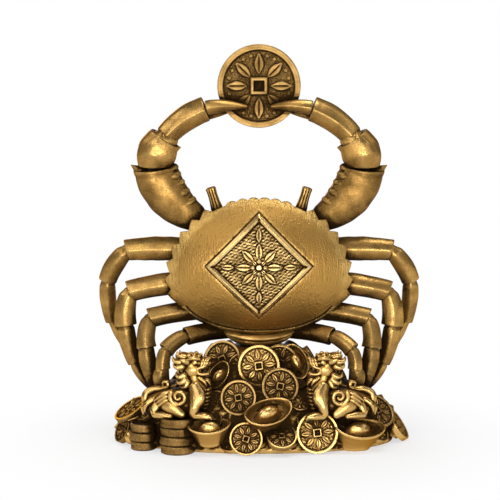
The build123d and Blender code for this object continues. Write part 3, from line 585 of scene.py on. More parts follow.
# Paths with half thickness and half depth along them, then balls with their half sizes, in the
# beast's own frame: X is to its front, Y to its side and Z up
BEAST_MIDDLE = {
    "trunk and neck": (
        [(-13, 0, 6.4), (-7, 0, 7.4), (0, 0, 8.0), (6.0, 0, 9.8), (8.6, 0, 14.2), (7.4, 0, 19.2),
         (6.4, 0, 24.0)],
        [5.2, 6.6, 6.8, 7.0, 5.2, 3.8, 3.4], [4.6, 6.0, 6.0, 6.2, 5.4, 4.4, 3.9],
    ),
    "muzzle": ([(6.5, 0, 28.0), (10.4, 0, 27.8), (13.4, 0, 28.9)], [3.0, 2.2, 1.5], [4.1, 3.3, 2.6]),
    "lower jaw": ([(6.0, 0, 22.6), (10.6, 0, 21.2), (14.2, 0, 21.7)], [2.4, 1.2, 0.8], [3.9, 2.9, 2.0]),
    "tongue": ([(9, 0, 22.9), (12.2, 0, 22.6), (14.0, 0, 23.1)], [0.6, 0.5, 0.3], [1.7, 1.4, 0.8]),
    "beard": ([(11.0, 0, 20.8), (13.6, 0, 18.8), (14.8, 0, 16.4)], [1.3, 1.1, 0.4], [2.4, 1.9, 0.6]),
    "tail": (
        [(-14, 0, 6.6), (-17.6, 0, 8.0), (-17.4, 0, 11.4), (-13.6, 0, 13.6), (-9.6, 0, 13.8),
         (-6.6, 0, 15.0), (-6.8, 0, 17.2), (-8.8, 0, 17.2), (-8.9, 0, 15.6)],
        [2.6, 2.4, 2.0, 1.7, 1.5, 1.3, 1.1, 0.9, 0.6], [2.6, 2.4, 2.0, 1.8, 1.7, 1.6, 1.5, 1.3, 1.0],
    ),
}
BEAST_MASSES = (
    ((5.8, 0, 26.2), (4.3, 4.3, 5.0)),
    ((14.2, 0, 30.0), (1.3, 2.2, 1.0)),
)
BEAST_SIDES = {
    "brow": ([(3.8, 3.2, 29.6), (7.0, 4.2, 30.5), (10.0, 3.2, 29.8)], [0.9, 1.2, 0.7], None),
    "ear": ([(4.2, 3.9, 28.2), (2.6, 5.2, 29.0), (0.9, 5.8, 29.8)], [1.6, 1.2, 0.3], [0.9, 0.8, 0.3]),
    "upper lip": (
        [(14.2, 2.2, 27.2), (11.6, 3.2, 25.9), (9.4, 3.6, 25.2), (8.9, 3.7, 24.2)],
        [0.6, 0.7, 0.7, 0.6], None,
    ),
    "lower lip": (
        [(8.9, 3.7, 24.2), (9.6, 3.4, 22.7), (12.0, 2.9, 22.2), (14.4, 2.0, 22.6)],
        [0.6, 0.7, 0.65, 0.5], None,
    ),
    "fang": ([(13.4, 2.0, 27.0), (13.8, 2.0, 25.4)], [0.7, 0.22], None),
    "whisker": ([(9.6, 2.6, 20.6), (12.2, 3.0, 18.8), (13.4, 2.6, 16.6)], [1.1, 0.9, 0.3], None),
    "foreleg": (
        [(7.6, 4.2, 16.0), (9.2, 5.2, 11.4), (8.2, 6.0, 6.6), (7.6, 6.2, 3.0)],
        [3.0, 4.2, 2.8, 2.4], [2.0, 2.6, 2.6, 2.3],
    ),
    "forepaw": ([(8.2, 6.2, 2.0), (12.4, 6.3, 2.1), (15.2, 6.4, 1.8)], [2.0, 2.1, 1.6], [2.2, 2.7, 2.5]),
    "thigh": ([(-9.0, 4.2, 9.4), (-4.4, 6.2, 6.4), (1.6, 6.9, 2.6)], [3.4, 3.9, 2.2], [2.0, 2.1, 1.6]),
    "hind foot": (
        [(-12.0, 6.6, 1.9), (-8.0, 7.0, 2.0), (-3.6, 7.2, 1.6)], [1.6, 1.8, 1.3], [1.8, 2.0, 1.9],
    ),
    "shank": ([(-11.0, 5.4, 6.4), (-12.4, 6.2, 4.0), (-11.6, 6.6, 2.0)], [2.2, 1.9, 1.6], [1.6, 1.6, 1.6]),
    "rump lock": ([(-13.4, 3.0, 9), (-16.4, 4.0, 6.6), (-17.6, 4.2, 3.0)], [1.6, 1.4, 0.5], None),
    "rump lock below": ([(-15, 1.8, 7), (-18.2, 2.6, 4.8), (-18.6, 2.6, 1.4)], [1.9, 1.7, 0.6], None),
}
BEAST_SIDE_MASSES = (
    ((6.4, 2.2, 24.0), (4.4, 2.3, 4.2)),
    ((7.5, 3.9, 27.9), (0.9, 0.8, 0.9)),
    ((4.6, 2.8, 31.2), (1.3, 1.3, 1.2)),
    ((7.2, 2.6, 31.7), (1.3, 1.3, 1.1)),
    ((9.6, 1.9, 31.2), (1.0, 1.1, 0.9)),
)
MANE_LOCKS = (
    ((3.0, 2.6, 30.2), (0.8, 3.2, 31.0), (-0.8, 3.3, 31.6), (-1.4, 3.1, 33.0)),
    ((2.0, 3.4, 28.4), (-0.6, 4.2, 28.2), (-2.8, 4.3, 28.8), (-3.6, 4.0, 30.4)),
    ((1.4, 3.6, 26.0), (-0.6, 4.3, 25.4), (-2.4, 4.3, 26.0), (-3.0, 4.0, 27.4)),
    ((2.4, 3.6, 21.6), (0.6, 4.4, 20.8), (-1.2, 4.4, 21.2), (-2.0, 4.1, 22.6)),
    ((3.0, 3.8, 19.6), (1.4, 4.6, 18.0), (-0.4, 4.6, 17.8), (-1.3, 4.3, 19.0)),
    ((4.0, 4.0, 18.4), (3.4, 4.8, 16.4), (2.0, 4.9, 15.6), (0.8, 4.6, 16.2)),
)


def guardian_skins():
    """The beast facing +X about the middle of its seat, built up from bent tubes and balls."""
    skins = []
    for path, width, depth in BEAST_MIDDLE.values():
        skins.append(tube_skin(path, width, depth, around=40, steps=64))
    skins += [ball_skin(centre, half_sizes) for centre, half_sizes in BEAST_MASSES]
    for i in range(6):
        chest_fold = (13.9 - 0.16 * i**1.5, 0, 14.6 - 1.9 * i)
        skins.append(ball_skin(chest_fold, (1.5, 3.4, 0.85), rings=12, around=16))
    for side in (-1, 1):
        flip = np.array([1, side, 1])
        for path, width, depth in BEAST_SIDES.values():
            skins.append(tube_skin(np.array(path) * flip, width, depth, around=16, steps=32))
        for centre, half_sizes in BEAST_SIDE_MASSES:
            skins.append(ball_skin(np.array(centre) * flip, half_sizes, rings=16, around=20))
        for path in MANE_LOCKS:
            thickness = np.linspace(1.0, 0.16, len(path)) * 1.75
            lock = np.array(path) * flip
            skins.append(tube_skin(lock, thickness, 0.9 * thickness, around=14, steps=26))
            if side == 1:
                ridge = np.array(path) * (1, 0, 1) - (0.5, 0, 0.3)
                skins.append(tube_skin(ridge, 1.2 * thickness, 1.6 * thickness, around=14, steps=26))
        for i in range(3):
            apart = side * (4.8 + 1.5 * i)
            toe = [(13.4, apart, 2.4), (15.6, apart, 2.2), (16.9, apart, 0.9)]
            skins.append(tube_skin(toe, [1.0, 0.95, 0.5], around=10, steps=12))
            drop = 1.9 * i
            feather = [
                (-3.4, side * 6.4, 14.0 - drop),
                (-7.6, side * 6.6, 12.4 - drop),
                (-12.6, side * 5.6, 8.6 - 1.3 * drop),
            ]
            skins.append(tube_skin(feather, [1.1, 1.2, 0.4], [1.0, 1.1, 0.4], around=12, steps=22))
            wrinkle = [
                (10.8 + 1.35 * i, side * 3.3, 26.6 + 0.3 * i),
                (11.3 + 1.35 * i, side * 2.9, 28.6),
                (11.6 + 1.2 * i, side * 1.4, 30.0),
            ]
            skins.append(tube_skin(wrinkle, [0.5, 0.6, 0.4], around=10, steps=16))
        skins.append(curl_skin((0.2, side * 7.0, 11.4), radius=4.5, thickness=1.15, turns=1.5, start=2.6))
        skins.append(curl_skin((7.5, side * 4.1, 27.9), radius=1.25, thickness=0.4, turns=0.95, start=0.0))
    return skins


def fused(skins, cell):
    """One skin round all of them, as a single casting has: voxels of a cell's size, then smoothed."""
    mesh = bpy.data.meshes.new("wax_model")
    points, faces = joined(skins)
    mesh.from_pydata(points.tolist(), [], faces)
    model = bpy.data.objects.new("wax_model", mesh)
    bpy.context.scene.collection.objects.link(model)
    remesh = model.modifiers.new("skin", "REMESH")
    remesh.mode = "VOXEL"
    remesh.voxel_size = cell
    smooth = model.modifiers.new("smooth", "SMOOTH")
    smooth.iterations = 2
    result = model.evaluated_get(bpy.context.evaluated_depsgraph_get()).to_mesh()
    verts = np.empty(len(result.vertices) * 3)
    result.vertices.foreach_get("co", verts)
    corners = np.empty(len(result.polygons) * 4, dtype=np.int32)
    result.loops.foreach_get("vertex_index", corners)
    bpy.data.objects.remove(model)
    bpy.data.meshes.remove(mesh)
    return verts.reshape(-1, 3), [corners.reshape(-1, 4)]


def mirrored(skins):
    """The skins on the other side of the figurine."""
    return [(verts * np.array([-1, 1, 1]), faces) for verts, faces in skins]


beast_brass = brass_with_patina_and_shade(
    "beast_brass", (0.46, 0.242, 0.060), (0.66, 0.42, 0.145),
    level=-0.06, grain=1900.0, bump=0.2, satin=0.26,
)
GUARDIAN_SPOT = np.array([-38.5, -28.5, 17.0])
GUARDIAN_TURN = np.radians(-10.0)
GUARDIAN_CELL = 0.3
cosine, sine = np.cos(GUARDIAN_TURN), np.sin(GUARDIAN_TURN)
guardian_axes = np.array([[cosine, sine, 0], [-sine, cosine, 0], [0, 0, 1]])
left_guardian = [moved(fused(guardian_skins(), GUARDIAN_CELL), GUARDIAN_SPOT, guardian_axes)]
cast_piece("left_guardian", left_guardian, beast_brass)
cast_piece("right_guardian", mirrored(left_guardian), beast_brass)

# The body and tail: the crab's underside, a swelling brass casting behind the shell with a grooved
# belly, and the curved tail bands under it that stand on the top of the mound.
# Brown wax colour: the real wax in the hollows, and also the painted shade laid with it
BROWN_WAX_AND_SHADE = (0.012, 0.006, 0.002)
crab_brass = brass_with_patina_and_shade(
    "crab_brass", (0.45, 0.238, 0.058), (0.60, 0.36, 0.110),
    level=0.31, grain=1700.0, bump=0.16, satin=0.27,
    wax=BROWN_WAX_AND_SHADE,
)
# A darker copy of crab_brass: painted shade for the lower legs and the claw arms
shaded_brass = brass_with_patina_and_shade(
    "shaded_brass", (0.35, 0.185, 0.044), (0.60, 0.36, 0.110),
    level=0.42, grain=1700.0, bump=0.22, satin=0.27,
    wax=BROWN_WAX_AND_SHADE,
)
SHELL_MIDDLE = np.array([0.0, 19.0, 90.0])
SHELL_HALF = np.array([56.0, 36.0, 42.0])


def shell_depth(across, up):
    """How far back the shell lies at a place: y of the front half of its ellipsoid."""
    half = SHELL_HALF
    inside = 1 - (across / half[0]) ** 2 - ((up - SHELL_MIDDLE[2]) / half[2]) ** 2
    return SHELL_MIDDLE[1] - half[1] * np.sqrt(np.maximum(inside, 0.0))


def shell_outline(turn, grow=0.0):
    """Reach of the shell's outline at an angle from the top: an ellipse above, squarer below."""
    across, up = np.sin(turn), np.cos(turn)
    half_width = 45.0 + grow
    half_height = np.where(up >= 0, 40.5, 28.0) + grow
    power = np.where(up >= 0, 2.0, 2.3)
    return (np.abs(across / half_width) ** power + np.abs(up / half_height) ** power) ** (-1 / power)


OUTLINE_MIDDLE = 82.0


def body_skin():
    """Rings of the inset outline from inside the shell to the belly, grooved between the leg roots."""
    belly, belly_from, flap_top = 17.6, 12, 12
    turn = even_turn(480)
    inset = np.concatenate([[-7.0, -5.0, -5.0], -5.2 - 14.0 * np.linspace(0, 1, 26) ** 2.2])[:, None]
    closing = np.linspace(0.985, 0.02, 80)[:, None]
    reach = np.vstack([shell_outline(turn, inset), closing * shell_outline(turn, inset[-1])])
    sides = np.concatenate([[-4.0, 0.0, 4.0], np.linspace(6, belly, 26)])[:, None]
    back = np.vstack([sides, belly + 0.3 * (1 - closing)])
    across, up = reach * np.sin(turn), OUTLINE_MIDDLE + reach * np.cos(turn)
    aside, above = np.abs(across), up - OUTLINE_MIDDLE
    flap = 9.0 - 0.25 * above
    groove = hump(aside, flap, 0.7) * (above < flap_top)
    plates = hump((above + 0.45 * aside) % 9.0, 4.5, 0.7) * (aside > flap + 0.5)
    bands = hump(above % 6.0, 3.0, 0.6) * (aside < flap - 0.5) * (above < flap_top)
    depth = 0.9 * np.maximum(groove, np.maximum(plates, bands)) * (back > belly_from)
    return grid_skin(across, back - depth, up)


cast_piece("body_casting", [body_skin()], crab_brass)


def tail_skin():
    """Rings along X whose radius is the furthest of a core and five long lobes fanned about that
    line: a lobe is an ellipse of the reach by its half thickness, and all taper to their ends."""
    half_length, core_half_length, core_radius = 20.0, 17.5, 8.6
    lobe_reach, lobe_thickness = 11.0, 3.0
    middle_back, middle_up = 9.0, 56.5
    across = half_length * np.sin(np.linspace(-np.pi / 2 + 0.02, np.pi / 2 - 0.02, 150))[:, None]
    turn = even_turn(300)
    radius = core_radius * np.sqrt(np.maximum(1 - (across / core_half_length) ** 2, 0))
    for i in range(5):
        taper = np.sqrt(np.maximum(1 - (across / (half_length - 0.5 * i)) ** 2, 0))
        apart = turn - np.radians(34.0 + 21.0 * i)
        lobe = 1 / np.sqrt((np.cos(apart) / lobe_reach) ** 2 + (np.sin(apart) / lobe_thickness) ** 2)
        radius = np.maximum(radius, taper * lobe)
    back, up = middle_back - radius * np.cos(turn), middle_up - radius * np.sin(turn)
    return grid_skin(across, back, up)


tail_brass = brass_with_patina_and_shade(
    "tail_brass", (0.48, 0.255, 0.062), (0.72, 0.45, 0.150),
    level=-0.35, grain=1700.0, bump=0.2, satin=0.34,
    wax=BROWN_WAX_AND_SHADE, bare_metal=0.85,
)
# The tail's lower sides get less painted shade than the other pieces'
cast_piece("tail_bands", [tail_skin()], tail_brass, down_and_back_shade=0.2)

# The carapace: a domed brass shell with saw teeth along its sides and low lobes between the eyes,
# filed and brushed to a soft gold. It caps the body and carries the diamond plaque.
shell_brass = brass_with_patina_and_shade(
    "shell_brass", (0.39, 0.207, 0.047), (0.70, 0.44, 0.135),
    level=0.06, grain=1300.0, bump=0.85, satin=0.33,
    # The shell's wax colour also paints its shade
    wax=(0.020, 0.010, 0.004), bare_metal=0.88, brushed=1.3,
)


def saw_tooth(turn):
    """How far the outline's teeth stand out: eight leaning saw teeth a side and six low front lobes."""
    angle = np.degrees(np.abs((turn + np.pi) % (2 * np.pi) - np.pi))
    side = (angle - 34.0) / 10.5
    phase = side % 1.0
    tooth = np.where(phase < 0.35, phase / 0.35, (1 - phase) / 0.65)
    side_teeth = 2.8 * tooth * ((side > 0) & (side < 8))
    front = angle / 8.0
    lobe = 1.2 * np.abs(np.sin(np.pi * front)) ** 0.7 * (front < 3)
    return side_teeth + lobe


PLAQUE_HALF = 18.75
# Share of the outline and distance behind its edge, round the lip and back under the dome
SHELL_LIP = (
    (0.995, 0.35), (1.0, 0.9), (0.995, 1.6), (0.975, 2.2),
    (0.93, 2.0), (0.8, -2.5), (0.4, -9.0), (0.02, -12.0),
)


def carapace_skin():
    """A polar grid over the dome: rings of the toothed outline from the middle to the edge, laid on
    the ellipsoid, then round the lip and back inside. Short flutes run in from the teeth, a bead and
    a groove follow the lower edge, and a shallow seat goes round the plaque."""
    turn = even_turn(720)
    edge = shell_outline(turn) + saw_tooth(turn)
    plain = shell_outline(turn)
    share = np.concatenate([np.linspace(0.01, 0.8, 80), np.linspace(0.81, 0.985, 18)])
    flare = np.clip((share - 0.93) / 0.055, 0, 1) ** 1.5
    reach = share[:, None] * plain + flare[:, None] * (edge - plain)
    across, up = reach * np.sin(turn), OUTLINE_MIDDLE + reach * np.cos(turn)
    depth = shell_depth(across, up)
    near = smooth_step(0.90, 0.985, share)[:, None]
    flute = near * (edge - plain - 0.9) * 0.06
    bead = 0.55 * hump(share[:, None], 0.955, 0.02) * (np.cos(turn) < -0.35)
    groove = 0.5 * hump(share[:, None], 0.925, 0.016) * (np.cos(turn) < -0.35)
    points = np.stack([across, depth, up], axis=-1)
    swell = 0.25 * waves(points, 40.0, 5) * (1 - near)
    from_plaque = (np.abs(across) + np.abs(up - SHELL_MIDDLE[2])) / math.sqrt(2) - PLAQUE_HALF
    seat = 0.3 * hump(from_plaque, 0.2, 0.5)
    points[..., 1] -= np.minimum(flute + bead - groove - seat + swell, 1.4)
    grow, back = np.array(SHELL_LIP).T[..., None]
    across, up = grow * edge * np.sin(turn), OUTLINE_MIDDLE + grow * edge * np.cos(turn)
    lips = np.stack([across, points[-1, :, 1] + back, up], axis=-1)
    return ring_skin(np.concatenate([points, lips]))


cast_piece("carapace", [carapace_skin()], shell_brass, down_and_back_shade=0.0)

# The plaque: a diamond plate of cast brass let into the shell and curved with it. A raised frame
# goes round a stippled field with a rosette of plain leaves in relief.


def plaque_skin():
    """Rings of a square on its corner, laid on the shell: frame, field and rosette are heights along
    -Y, and the last rings turn down to the plate's back."""
    field, border = np.linspace(0.02, 0.9, 90), np.linspace(0.91, 0.985, 14)
    lift = np.concatenate([field, border, [0.995, 1.0, 1.0, 1.0]])
    sink = np.concatenate([0 * field, 0 * border, [0.12, 0.4, 1.4, 2.7]])
    turn = even_turn(480) + np.pi / 4
    square = 1 / np.maximum(np.abs(np.cos(turn)), np.abs(np.sin(turn)))
    s = PLAQUE_HALF * lift[:, None] * square * np.cos(turn)
    t = PLAQUE_HALF * lift[:, None] * square * np.sin(turn)
    across, up = (s - t) / math.sqrt(2), (s + t) / math.sqrt(2)
    edge = np.maximum(np.abs(s), np.abs(t))
    frame_in = PLAQUE_HALF - 2.8
    rim = smooth_step(frame_in - 0.25, frame_in + 0.25, edge)
    spread = np.hypot(across, up)
    petals = leaf_ring(across, up, 7.6, 8, 4.6, 2.1)
    inner = leaf_ring(across, up, 3.2, 8, 1.7, 0.9)
    corner = leaf_ring(across, up, 15.6, 4, 3.6, 1.7)
    boss = smooth_step(1.7, 1.2, spread)
    raised = np.maximum(np.maximum(petals, corner), np.maximum(inner, boss))
    dots = 0.5 * waves(np.stack([s, t, 0 * s], axis=-1), 1.0, 43) * (1 - raised) * (1 - rim)
    crown = 0.5 - 0.9 * np.abs(edge - frame_in - 1.4) / 1.4
    height = 0.4 + (1.1 + crown) * rim + 1.05 * raised * (1 - rim) + dots - sink[:, None]
    depth = shell_depth(across, up + SHELL_MIDDLE[2]) - height
    return grid_skin(across, depth, up + SHELL_MIDDLE[2])


plaque_brass = brass_with_patina_and_shade(
    "plaque_brass", (0.48, 0.262, 0.068), (0.95, 0.68, 0.28),
    level=0.22, grain=2200.0, bump=0.3, satin=0.28,
)
cast_piece("shell_plaque", [plaque_skin()], plaque_brass, down_and_back_shade=0.0)

# The eyes: short splayed stalks of cast brass, fluted and cut off square at the top. Each is pinned
# into the body behind the upper edge of the shell.
EYE_FOOT = np.array([21.0, 2.0, 117.0])


def eye_skin():
    """A turned stalk along its splayed axis, its radius times 1 + 0.07 cos of nine times the turn."""
    rise, radius = refined(
        [
            (-2.0, 2.9), (1.0, 2.9), (4.0, 2.5), (7.0, 2.3), (9.6, 2.35),
            (10.9, 2.5), (11.6, 2.3), (11.8, 1.9), (11.5, 1.2), (11.3, 0.05),
        ],
        55,
    )
    turn = even_turn(72)
    radius = radius * (1 + 0.07 * np.cos(9 * turn) * (rise < 11.6))
    splay = math.radians(17)
    stalk = grid_skin(radius * np.cos(turn), radius * np.sin(turn), rise)
    axes = [(math.cos(splay), 0, -math.sin(splay)), (0, 1, 0), (math.sin(splay), 0, math.cos(splay))]
    return moved(stalk, EYE_FOOT, axes)


def cast_pair(name, skins, finish):
    """A piece of the crab on the right, and its mirror image on the left."""
    cast_piece("right_" + name, skins, finish)
    cast_piece("left_" + name, mirrored(skins), finish)


cast_pair("eye", [eye_skin()], crab_brass)

# The walking legs: each is one brass casting of four swelling segments, all but the last with a
# flared cuff. A pin at the hip goes into the body, and one at the toe into the mound.


def along_three(values, share):
    """The curve of second degree through three values at 0, a half and 1."""
    start, middle, end = values
    from_start = start * (1 - share) * (1 - 2 * share)
    from_middle = 4 * middle * share * (1 - share)
    return from_start + from_middle + end * share * (2 * share - 1)


def limb_rings(centre, along, width, depth, ridge, power, seed, around=64):
    """Rings of a crab's limb across a path: cos and sin to a power, a rounded box below 1 and a keeled
    lozenge above it. A blunt ridge runs along the front and the back, and faint dents cover it."""
    across = np.cross(along, [0.0, 1.0, 0.0])
    across /= np.linalg.norm(across, axis=-1)[..., None]
    back = np.cross(across, along)
    turn = even_turn(around)
    wide = np.sign(np.cos(turn)) * np.abs(np.cos(turn)) ** power
    deep = np.sign(np.sin(turn)) * np.abs(np.sin(turn)) ** power
    crest = 1 + ridge * (hump(turn, 1.5 * np.pi, 0.45) + hump(turn, 0.5 * np.pi, 0.45))
    rings = (
        centre[:, None]
        + width[:, None, None] * wide[None, :, None] * across[..., None, :]
        + depth[:, None, None] * (deep * crest)[None, :, None] * back[..., None, :]
    )
    dent = 0.035 * width[:, None] * waves(rings, 15.0, seed)
    return rings + dent[..., None] * (rings - centre[:, None]) / (width[:, None, None] + 0.1)


def limb_places(steps, end_share, end_closing):
    """Places along a limb from 0 to 1, and how far the rings are open there: both ends draw in."""
    share = np.concatenate([[0.0, 0.0, 0.01, 0.03], np.linspace(0.05, 0.97, steps), end_share])
    closing = np.concatenate([[0.05, 0.75, 0.93, 0.99], np.ones(steps), end_closing])
    return share, closing


LEG_FLATNESS = 0.78
LEG_RIDGE = 0.06
LEG_POWER = 1.15


def segment_skin(start, end, widths, bow, cuff, neck, seed):
    """One leg segment along an outward bow: it swells and ends in a lip whose inside is cut away, and
    the cut leans so that the outer side of the bend reaches further."""
    start, end = np.asarray(start), np.asarray(end)
    share, closing = limb_places(
        44, [0.985, 0.995, 1.0, 1.0, 0.985, 0.97, 0.97], [1.0, 0.995, 0.975, 0.90, 0.80, 0.6, 0.05]
    )
    way = (end - start) / np.linalg.norm(end - start)
    width = 0.97 * along_three(widths, share) * closing * (1 + 0.03 * cuff * smooth_step(0.84, 0.98, share))
    width = width * (1 - neck * (1 - smooth_step(0.04, 0.2, share)))
    outward = np.cross(way, [0.0, 1.0, 0.0])
    centre = start + share[:, None] * (end - start) + (bow * 4 * share * (1 - share))[:, None] * outward
    along = np.broadcast_to(way, centre.shape)
    rings = limb_rings(centre, along, width, LEG_FLATNESS * width, LEG_RIDGE, LEG_POWER, seed)
    lean = 0.28 * cuff * smooth_step(0.55, 1.0, share)[:, None] * ((rings - centre[:, None]) @ outward)
    return ring_skin(rings + lean[..., None] * way)


# Hips in the frame, knees and ankles from the hip, toes by bearing and height on the mound and heels
# from the toe, for the four legs of one side from top to bottom
HIPS = ((30.0, 8.0, 95.5), (34.5, 7.0, 79.5), (24.0, 6.0, 65.5), (15.0, 11.0, 54.0))
KNEES = ((37.0, 1.5, 0.0), (31.0, 0.5, -4.8), (31.0, -2.0, -4.0), (21.5, -13.0, -1.0))
ANKLES = ((47.6, 7.5, -16.2), (33.5, 1.0, -22.0), (33.0, -5.0, -18.5), (31.5, -18.5, -7.0))
TOES = ((124.0, 20.5), (106.0, 24.0), (93.0, 26.5), (74.0, 28.0))
HEELS = ((24.6, 2.0, 37.2), (9.8, 0.5, 14.0), (2.6, -1.0, 7.0), (0.8, 0.0, 9.6))
# Half widths of each segment at its start, middle and end
LEG_WIDTHS = (
    ((5.5, 6.4, 5.3), (3.8, 5.1, 4.5), (3.7, 4.4, 3.3), (2.7, 2.3, 1.4)),
    ((5.0, 6.0, 5.3), (3.8, 5.5, 5.5), (4.3, 4.7, 3.3), (2.6, 2.3, 1.4)),
    ((4.7, 5.3, 5.0), (3.7, 4.7, 4.8), (3.9, 4.5, 3.9), (3.1, 2.7, 1.8)),
    ((4.3, 4.9, 4.7), (3.4, 4.2, 4.3), (3.1, 3.7, 3.6), (3.3, 4.3, 3.0)),
)
LEG_BOWS = (0.9, 1.3, 0.8, 1.4)
# A segment starts inside the one before, narrowed to a neck, and runs on past its joint. A knuckle
# ball fills every bend, and the last segment sinks into the mound.
SEGMENT_START = 1.6
SEGMENT_RUN = 0.4
TOE_SINK = 2.0
KNUCKLE_SHARE = 0.74
LEG_NECK = 0.22
for number in range(4):
    hip = np.array(HIPS[number])
    toe = on_mound(*TOES[number])
    joints = [hip, hip + KNEES[number], hip + ANKLES[number], toe + HEELS[number], toe]
    leg = []
    for i, widths in enumerate(LEG_WIDTHS[number]):
        start, end = joints[i], joints[i + 1]
        way = (end - start) / np.linalg.norm(end - start)
        start = start - way * (SEGMENT_START if i else 0.0)
        end = end + way * (TOE_SINK if i == 3 else SEGMENT_RUN)
        cuff = 1.0 if i < 3 else 0.0
        neck = LEG_NECK if i else 0.0
        leg.append(segment_skin(start, end, widths, LEG_BOWS[i], cuff, neck, 12 + 4 * number + i))
        if i:
            knuckle = KNUCKLE_SHARE * min(LEG_WIDTHS[number][i - 1][2], widths[0])
            leg.append(ball_skin(joints[i], [knuckle] * 3))
    cast_pair(f"leg_{number + 1}", leg, crab_brass if number < 2 else shaded_brass)

# The claws: arm, wrist, palm and the front finger of each are separate brass castings, seated on
# each other. The arm has a spike at its outer corner and blunt teeth along its inner edge.


def along_stations(stations, share):
    """The smooth curve through stations at even steps: the polynomial of the lowest degree."""
    stations = np.asarray(stations, float)
    place = np.linspace(0, 1, len(stations))
    degree = len(stations) - 1
    columns = [np.polyval(np.polyfit(place, column, degree), share) for column in stations.T]
    return np.stack(columns, axis=-1)


def claw_skin(stations, ridge, power, cuff, seed):
    """A curved limb through stations of across, back, up, half width and half depth, with a cuff
    that flares and is cut off square at its end."""
    share, closing = limb_places(
        60, [0.985, 0.995, 1.0, 1.0, 0.99, 0.99], [1.0, 0.985, 0.95, 0.86, 0.6, 0.05]
    )
    curve = along_stations(stations, share)
    before = along_stations(stations, np.clip(share - 0.01, 0, 1))
    after = along_stations(stations, np.clip(share + 0.01, 0, 1))
    along = (after - before)[:, :3]
    along = along / np.linalg.norm(along, axis=1)[:, None]
    waist = hump(share, 0.87, 0.04)
    closing = closing * (1 + cuff * (0.05 * smooth_step(0.84, 0.97, share) - 0.04 * waist))
    width, depth = curve[:, 3] * closing, curve[:, 4] * closing
    return ring_skin(limb_rings(curve[:, :3], along, width, depth, ridge, power, seed, 80))


# Stations from the root to the end: across, back, up, half width and half depth
ARM = (
    (29.0, 5.0, 111.0, 6.0, 5.0), (43.0, 4.0, 120.5, 10.2, 7.6),
    (50.0, 3.0, 131.0, 11.2, 7.8), (52.2, 2.0, 138.4, 10.6, 6.8),
)
WRIST = ((52.2, 1.5, 138.7, 8.2, 5.8), (51.0, 0.5, 146.0, 10.0, 7.4), (47.2, -0.5, 153.4, 7.8, 6.4))
PALM = ((46.6, -0.5, 154.0, 5.6, 5.2), (37.8, -1.0, 162.2, 6.4, 5.8), (26.6, -1.5, 167.9, 6.3, 5.2))
FINGER = ((26.4, -4.4, 168.4, 3.7, 2.6), (17.0, -4.5, 169.6, 2.9, 2.5), (6.0, -3.6, 169.1, 0.7, 1.2))
REAR_FINGER = ((28.0, 2.2, 165.4, 3.9, 2.6), (18.0, 3.4, 167.4, 2.9, 2.2), (9.0, 3.2, 169.0, 0.8, 1.0))
# Spikes: a path, and the half thickness and half depth along it
ARM_SPIKE = (
    [(56.6, 2.0, 134.0), (60.0, 2.0, 136.6), (64.2, 2.0, 139.4)], [4.2, 2.8, 0.3], [4.4, 2.8, 0.3],
)
WRIST_SPIKES = (
    ([(52.0, -4.4, 145.5), (50.6, -5.8, 150.6), (48.6, -5.8, 156.4)], [6.4, 4.2, 0.4], [3.0, 2.0, 0.4]),
    ([(45.4, 0.2, 146.6), (42.2, 0.2, 148.0), (39.6, 0.2, 148.4)], [4.2, 2.8, 0.5], [4.6, 2.8, 0.5]),
)
arm = [claw_skin(ARM, ridge=0.0, power=0.92, cuff=0.6, seed=31), tube_skin(*ARM_SPIKE)]
for i in range(5):
    across, back, up, half_width, half_depth = along_stations(ARM, 0.30 + 0.14 * i)
    root = np.array([across - 0.58 * half_width, back - 0.66 * half_depth, up + 1.0])
    tip = np.array([across - 0.90 * half_width, back - 0.42 * half_depth, up + 2.8])
    swell = 1.0 + 0.25 * math.sin(2.6 * i)
    thickness, depth = [1.7 * swell, 2.1 * swell, 1.7], [1.2, 1.6 * swell, 1.6]
    arm.append(tube_skin([root, (root + tip) / 2, tip], thickness, depth, around=16, steps=14))
wrist = [
    claw_skin(WRIST, ridge=0.05, power=0.92, cuff=0.0, seed=35),
    ball_skin((47.8, -0.4, 152.2), (7.4, 6.2, 5.4)),
    *(tube_skin(*spike) for spike in WRIST_SPIKES),
]
palm = [
    claw_skin(PALM, ridge=0.10, power=1.2, cuff=0.2, seed=38),
    claw_skin(REAR_FINGER, ridge=0.05, power=1.0, cuff=0.0, seed=40),
]
finger = [claw_skin(FINGER, ridge=0.08, power=1.2, cuff=0.0, seed=42)]
claw_parts = {"arm": arm, "wrist": wrist, "palm": palm, "finger": finger}
for name, skins in claw_parts.items():
    cast_pair(f"claw_{name}", skins, shaded_brass if name == "arm" else crab_brass)

# The held coin: the largest cash coin, cast in brass and gripped between the fingers of both claws,
# with the same rim, square and leaves as the coins of the heap on both of its faces.
HELD_RADIUS = 20.8
HELD_THICKNESS = 3.6
HELD_RELIEF = 0.8
HELD_SPOT = (0, 0, 179.2)
held_brass = brass_with_patina_and_shade(
    "held_brass", (0.40, 0.208, 0.052), (0.48, 0.30, 0.10),
    level=0.30, grain=2400.0, bump=0.3, satin=0.30,
)
held = coin_skin(HELD_RADIUS, HELD_THICKNESS, HELD_RELIEF, rings=110, around=400, back_rings=110)
cast_piece("held_coin", [moved(held, HELD_SPOT, facing(0, 0, 0))], held_brass)

# The patina: the finished figurine is dipped in dark wax and rubbed back with a cloth. Wax stays
# in the hollows of the surface, and the ridges are rubbed bright. The same dark colour is partly
# wax and partly painted shade where other pieces crowd a surface, and painted shade where they
# shelter it from the light and on the sides that face down or back.


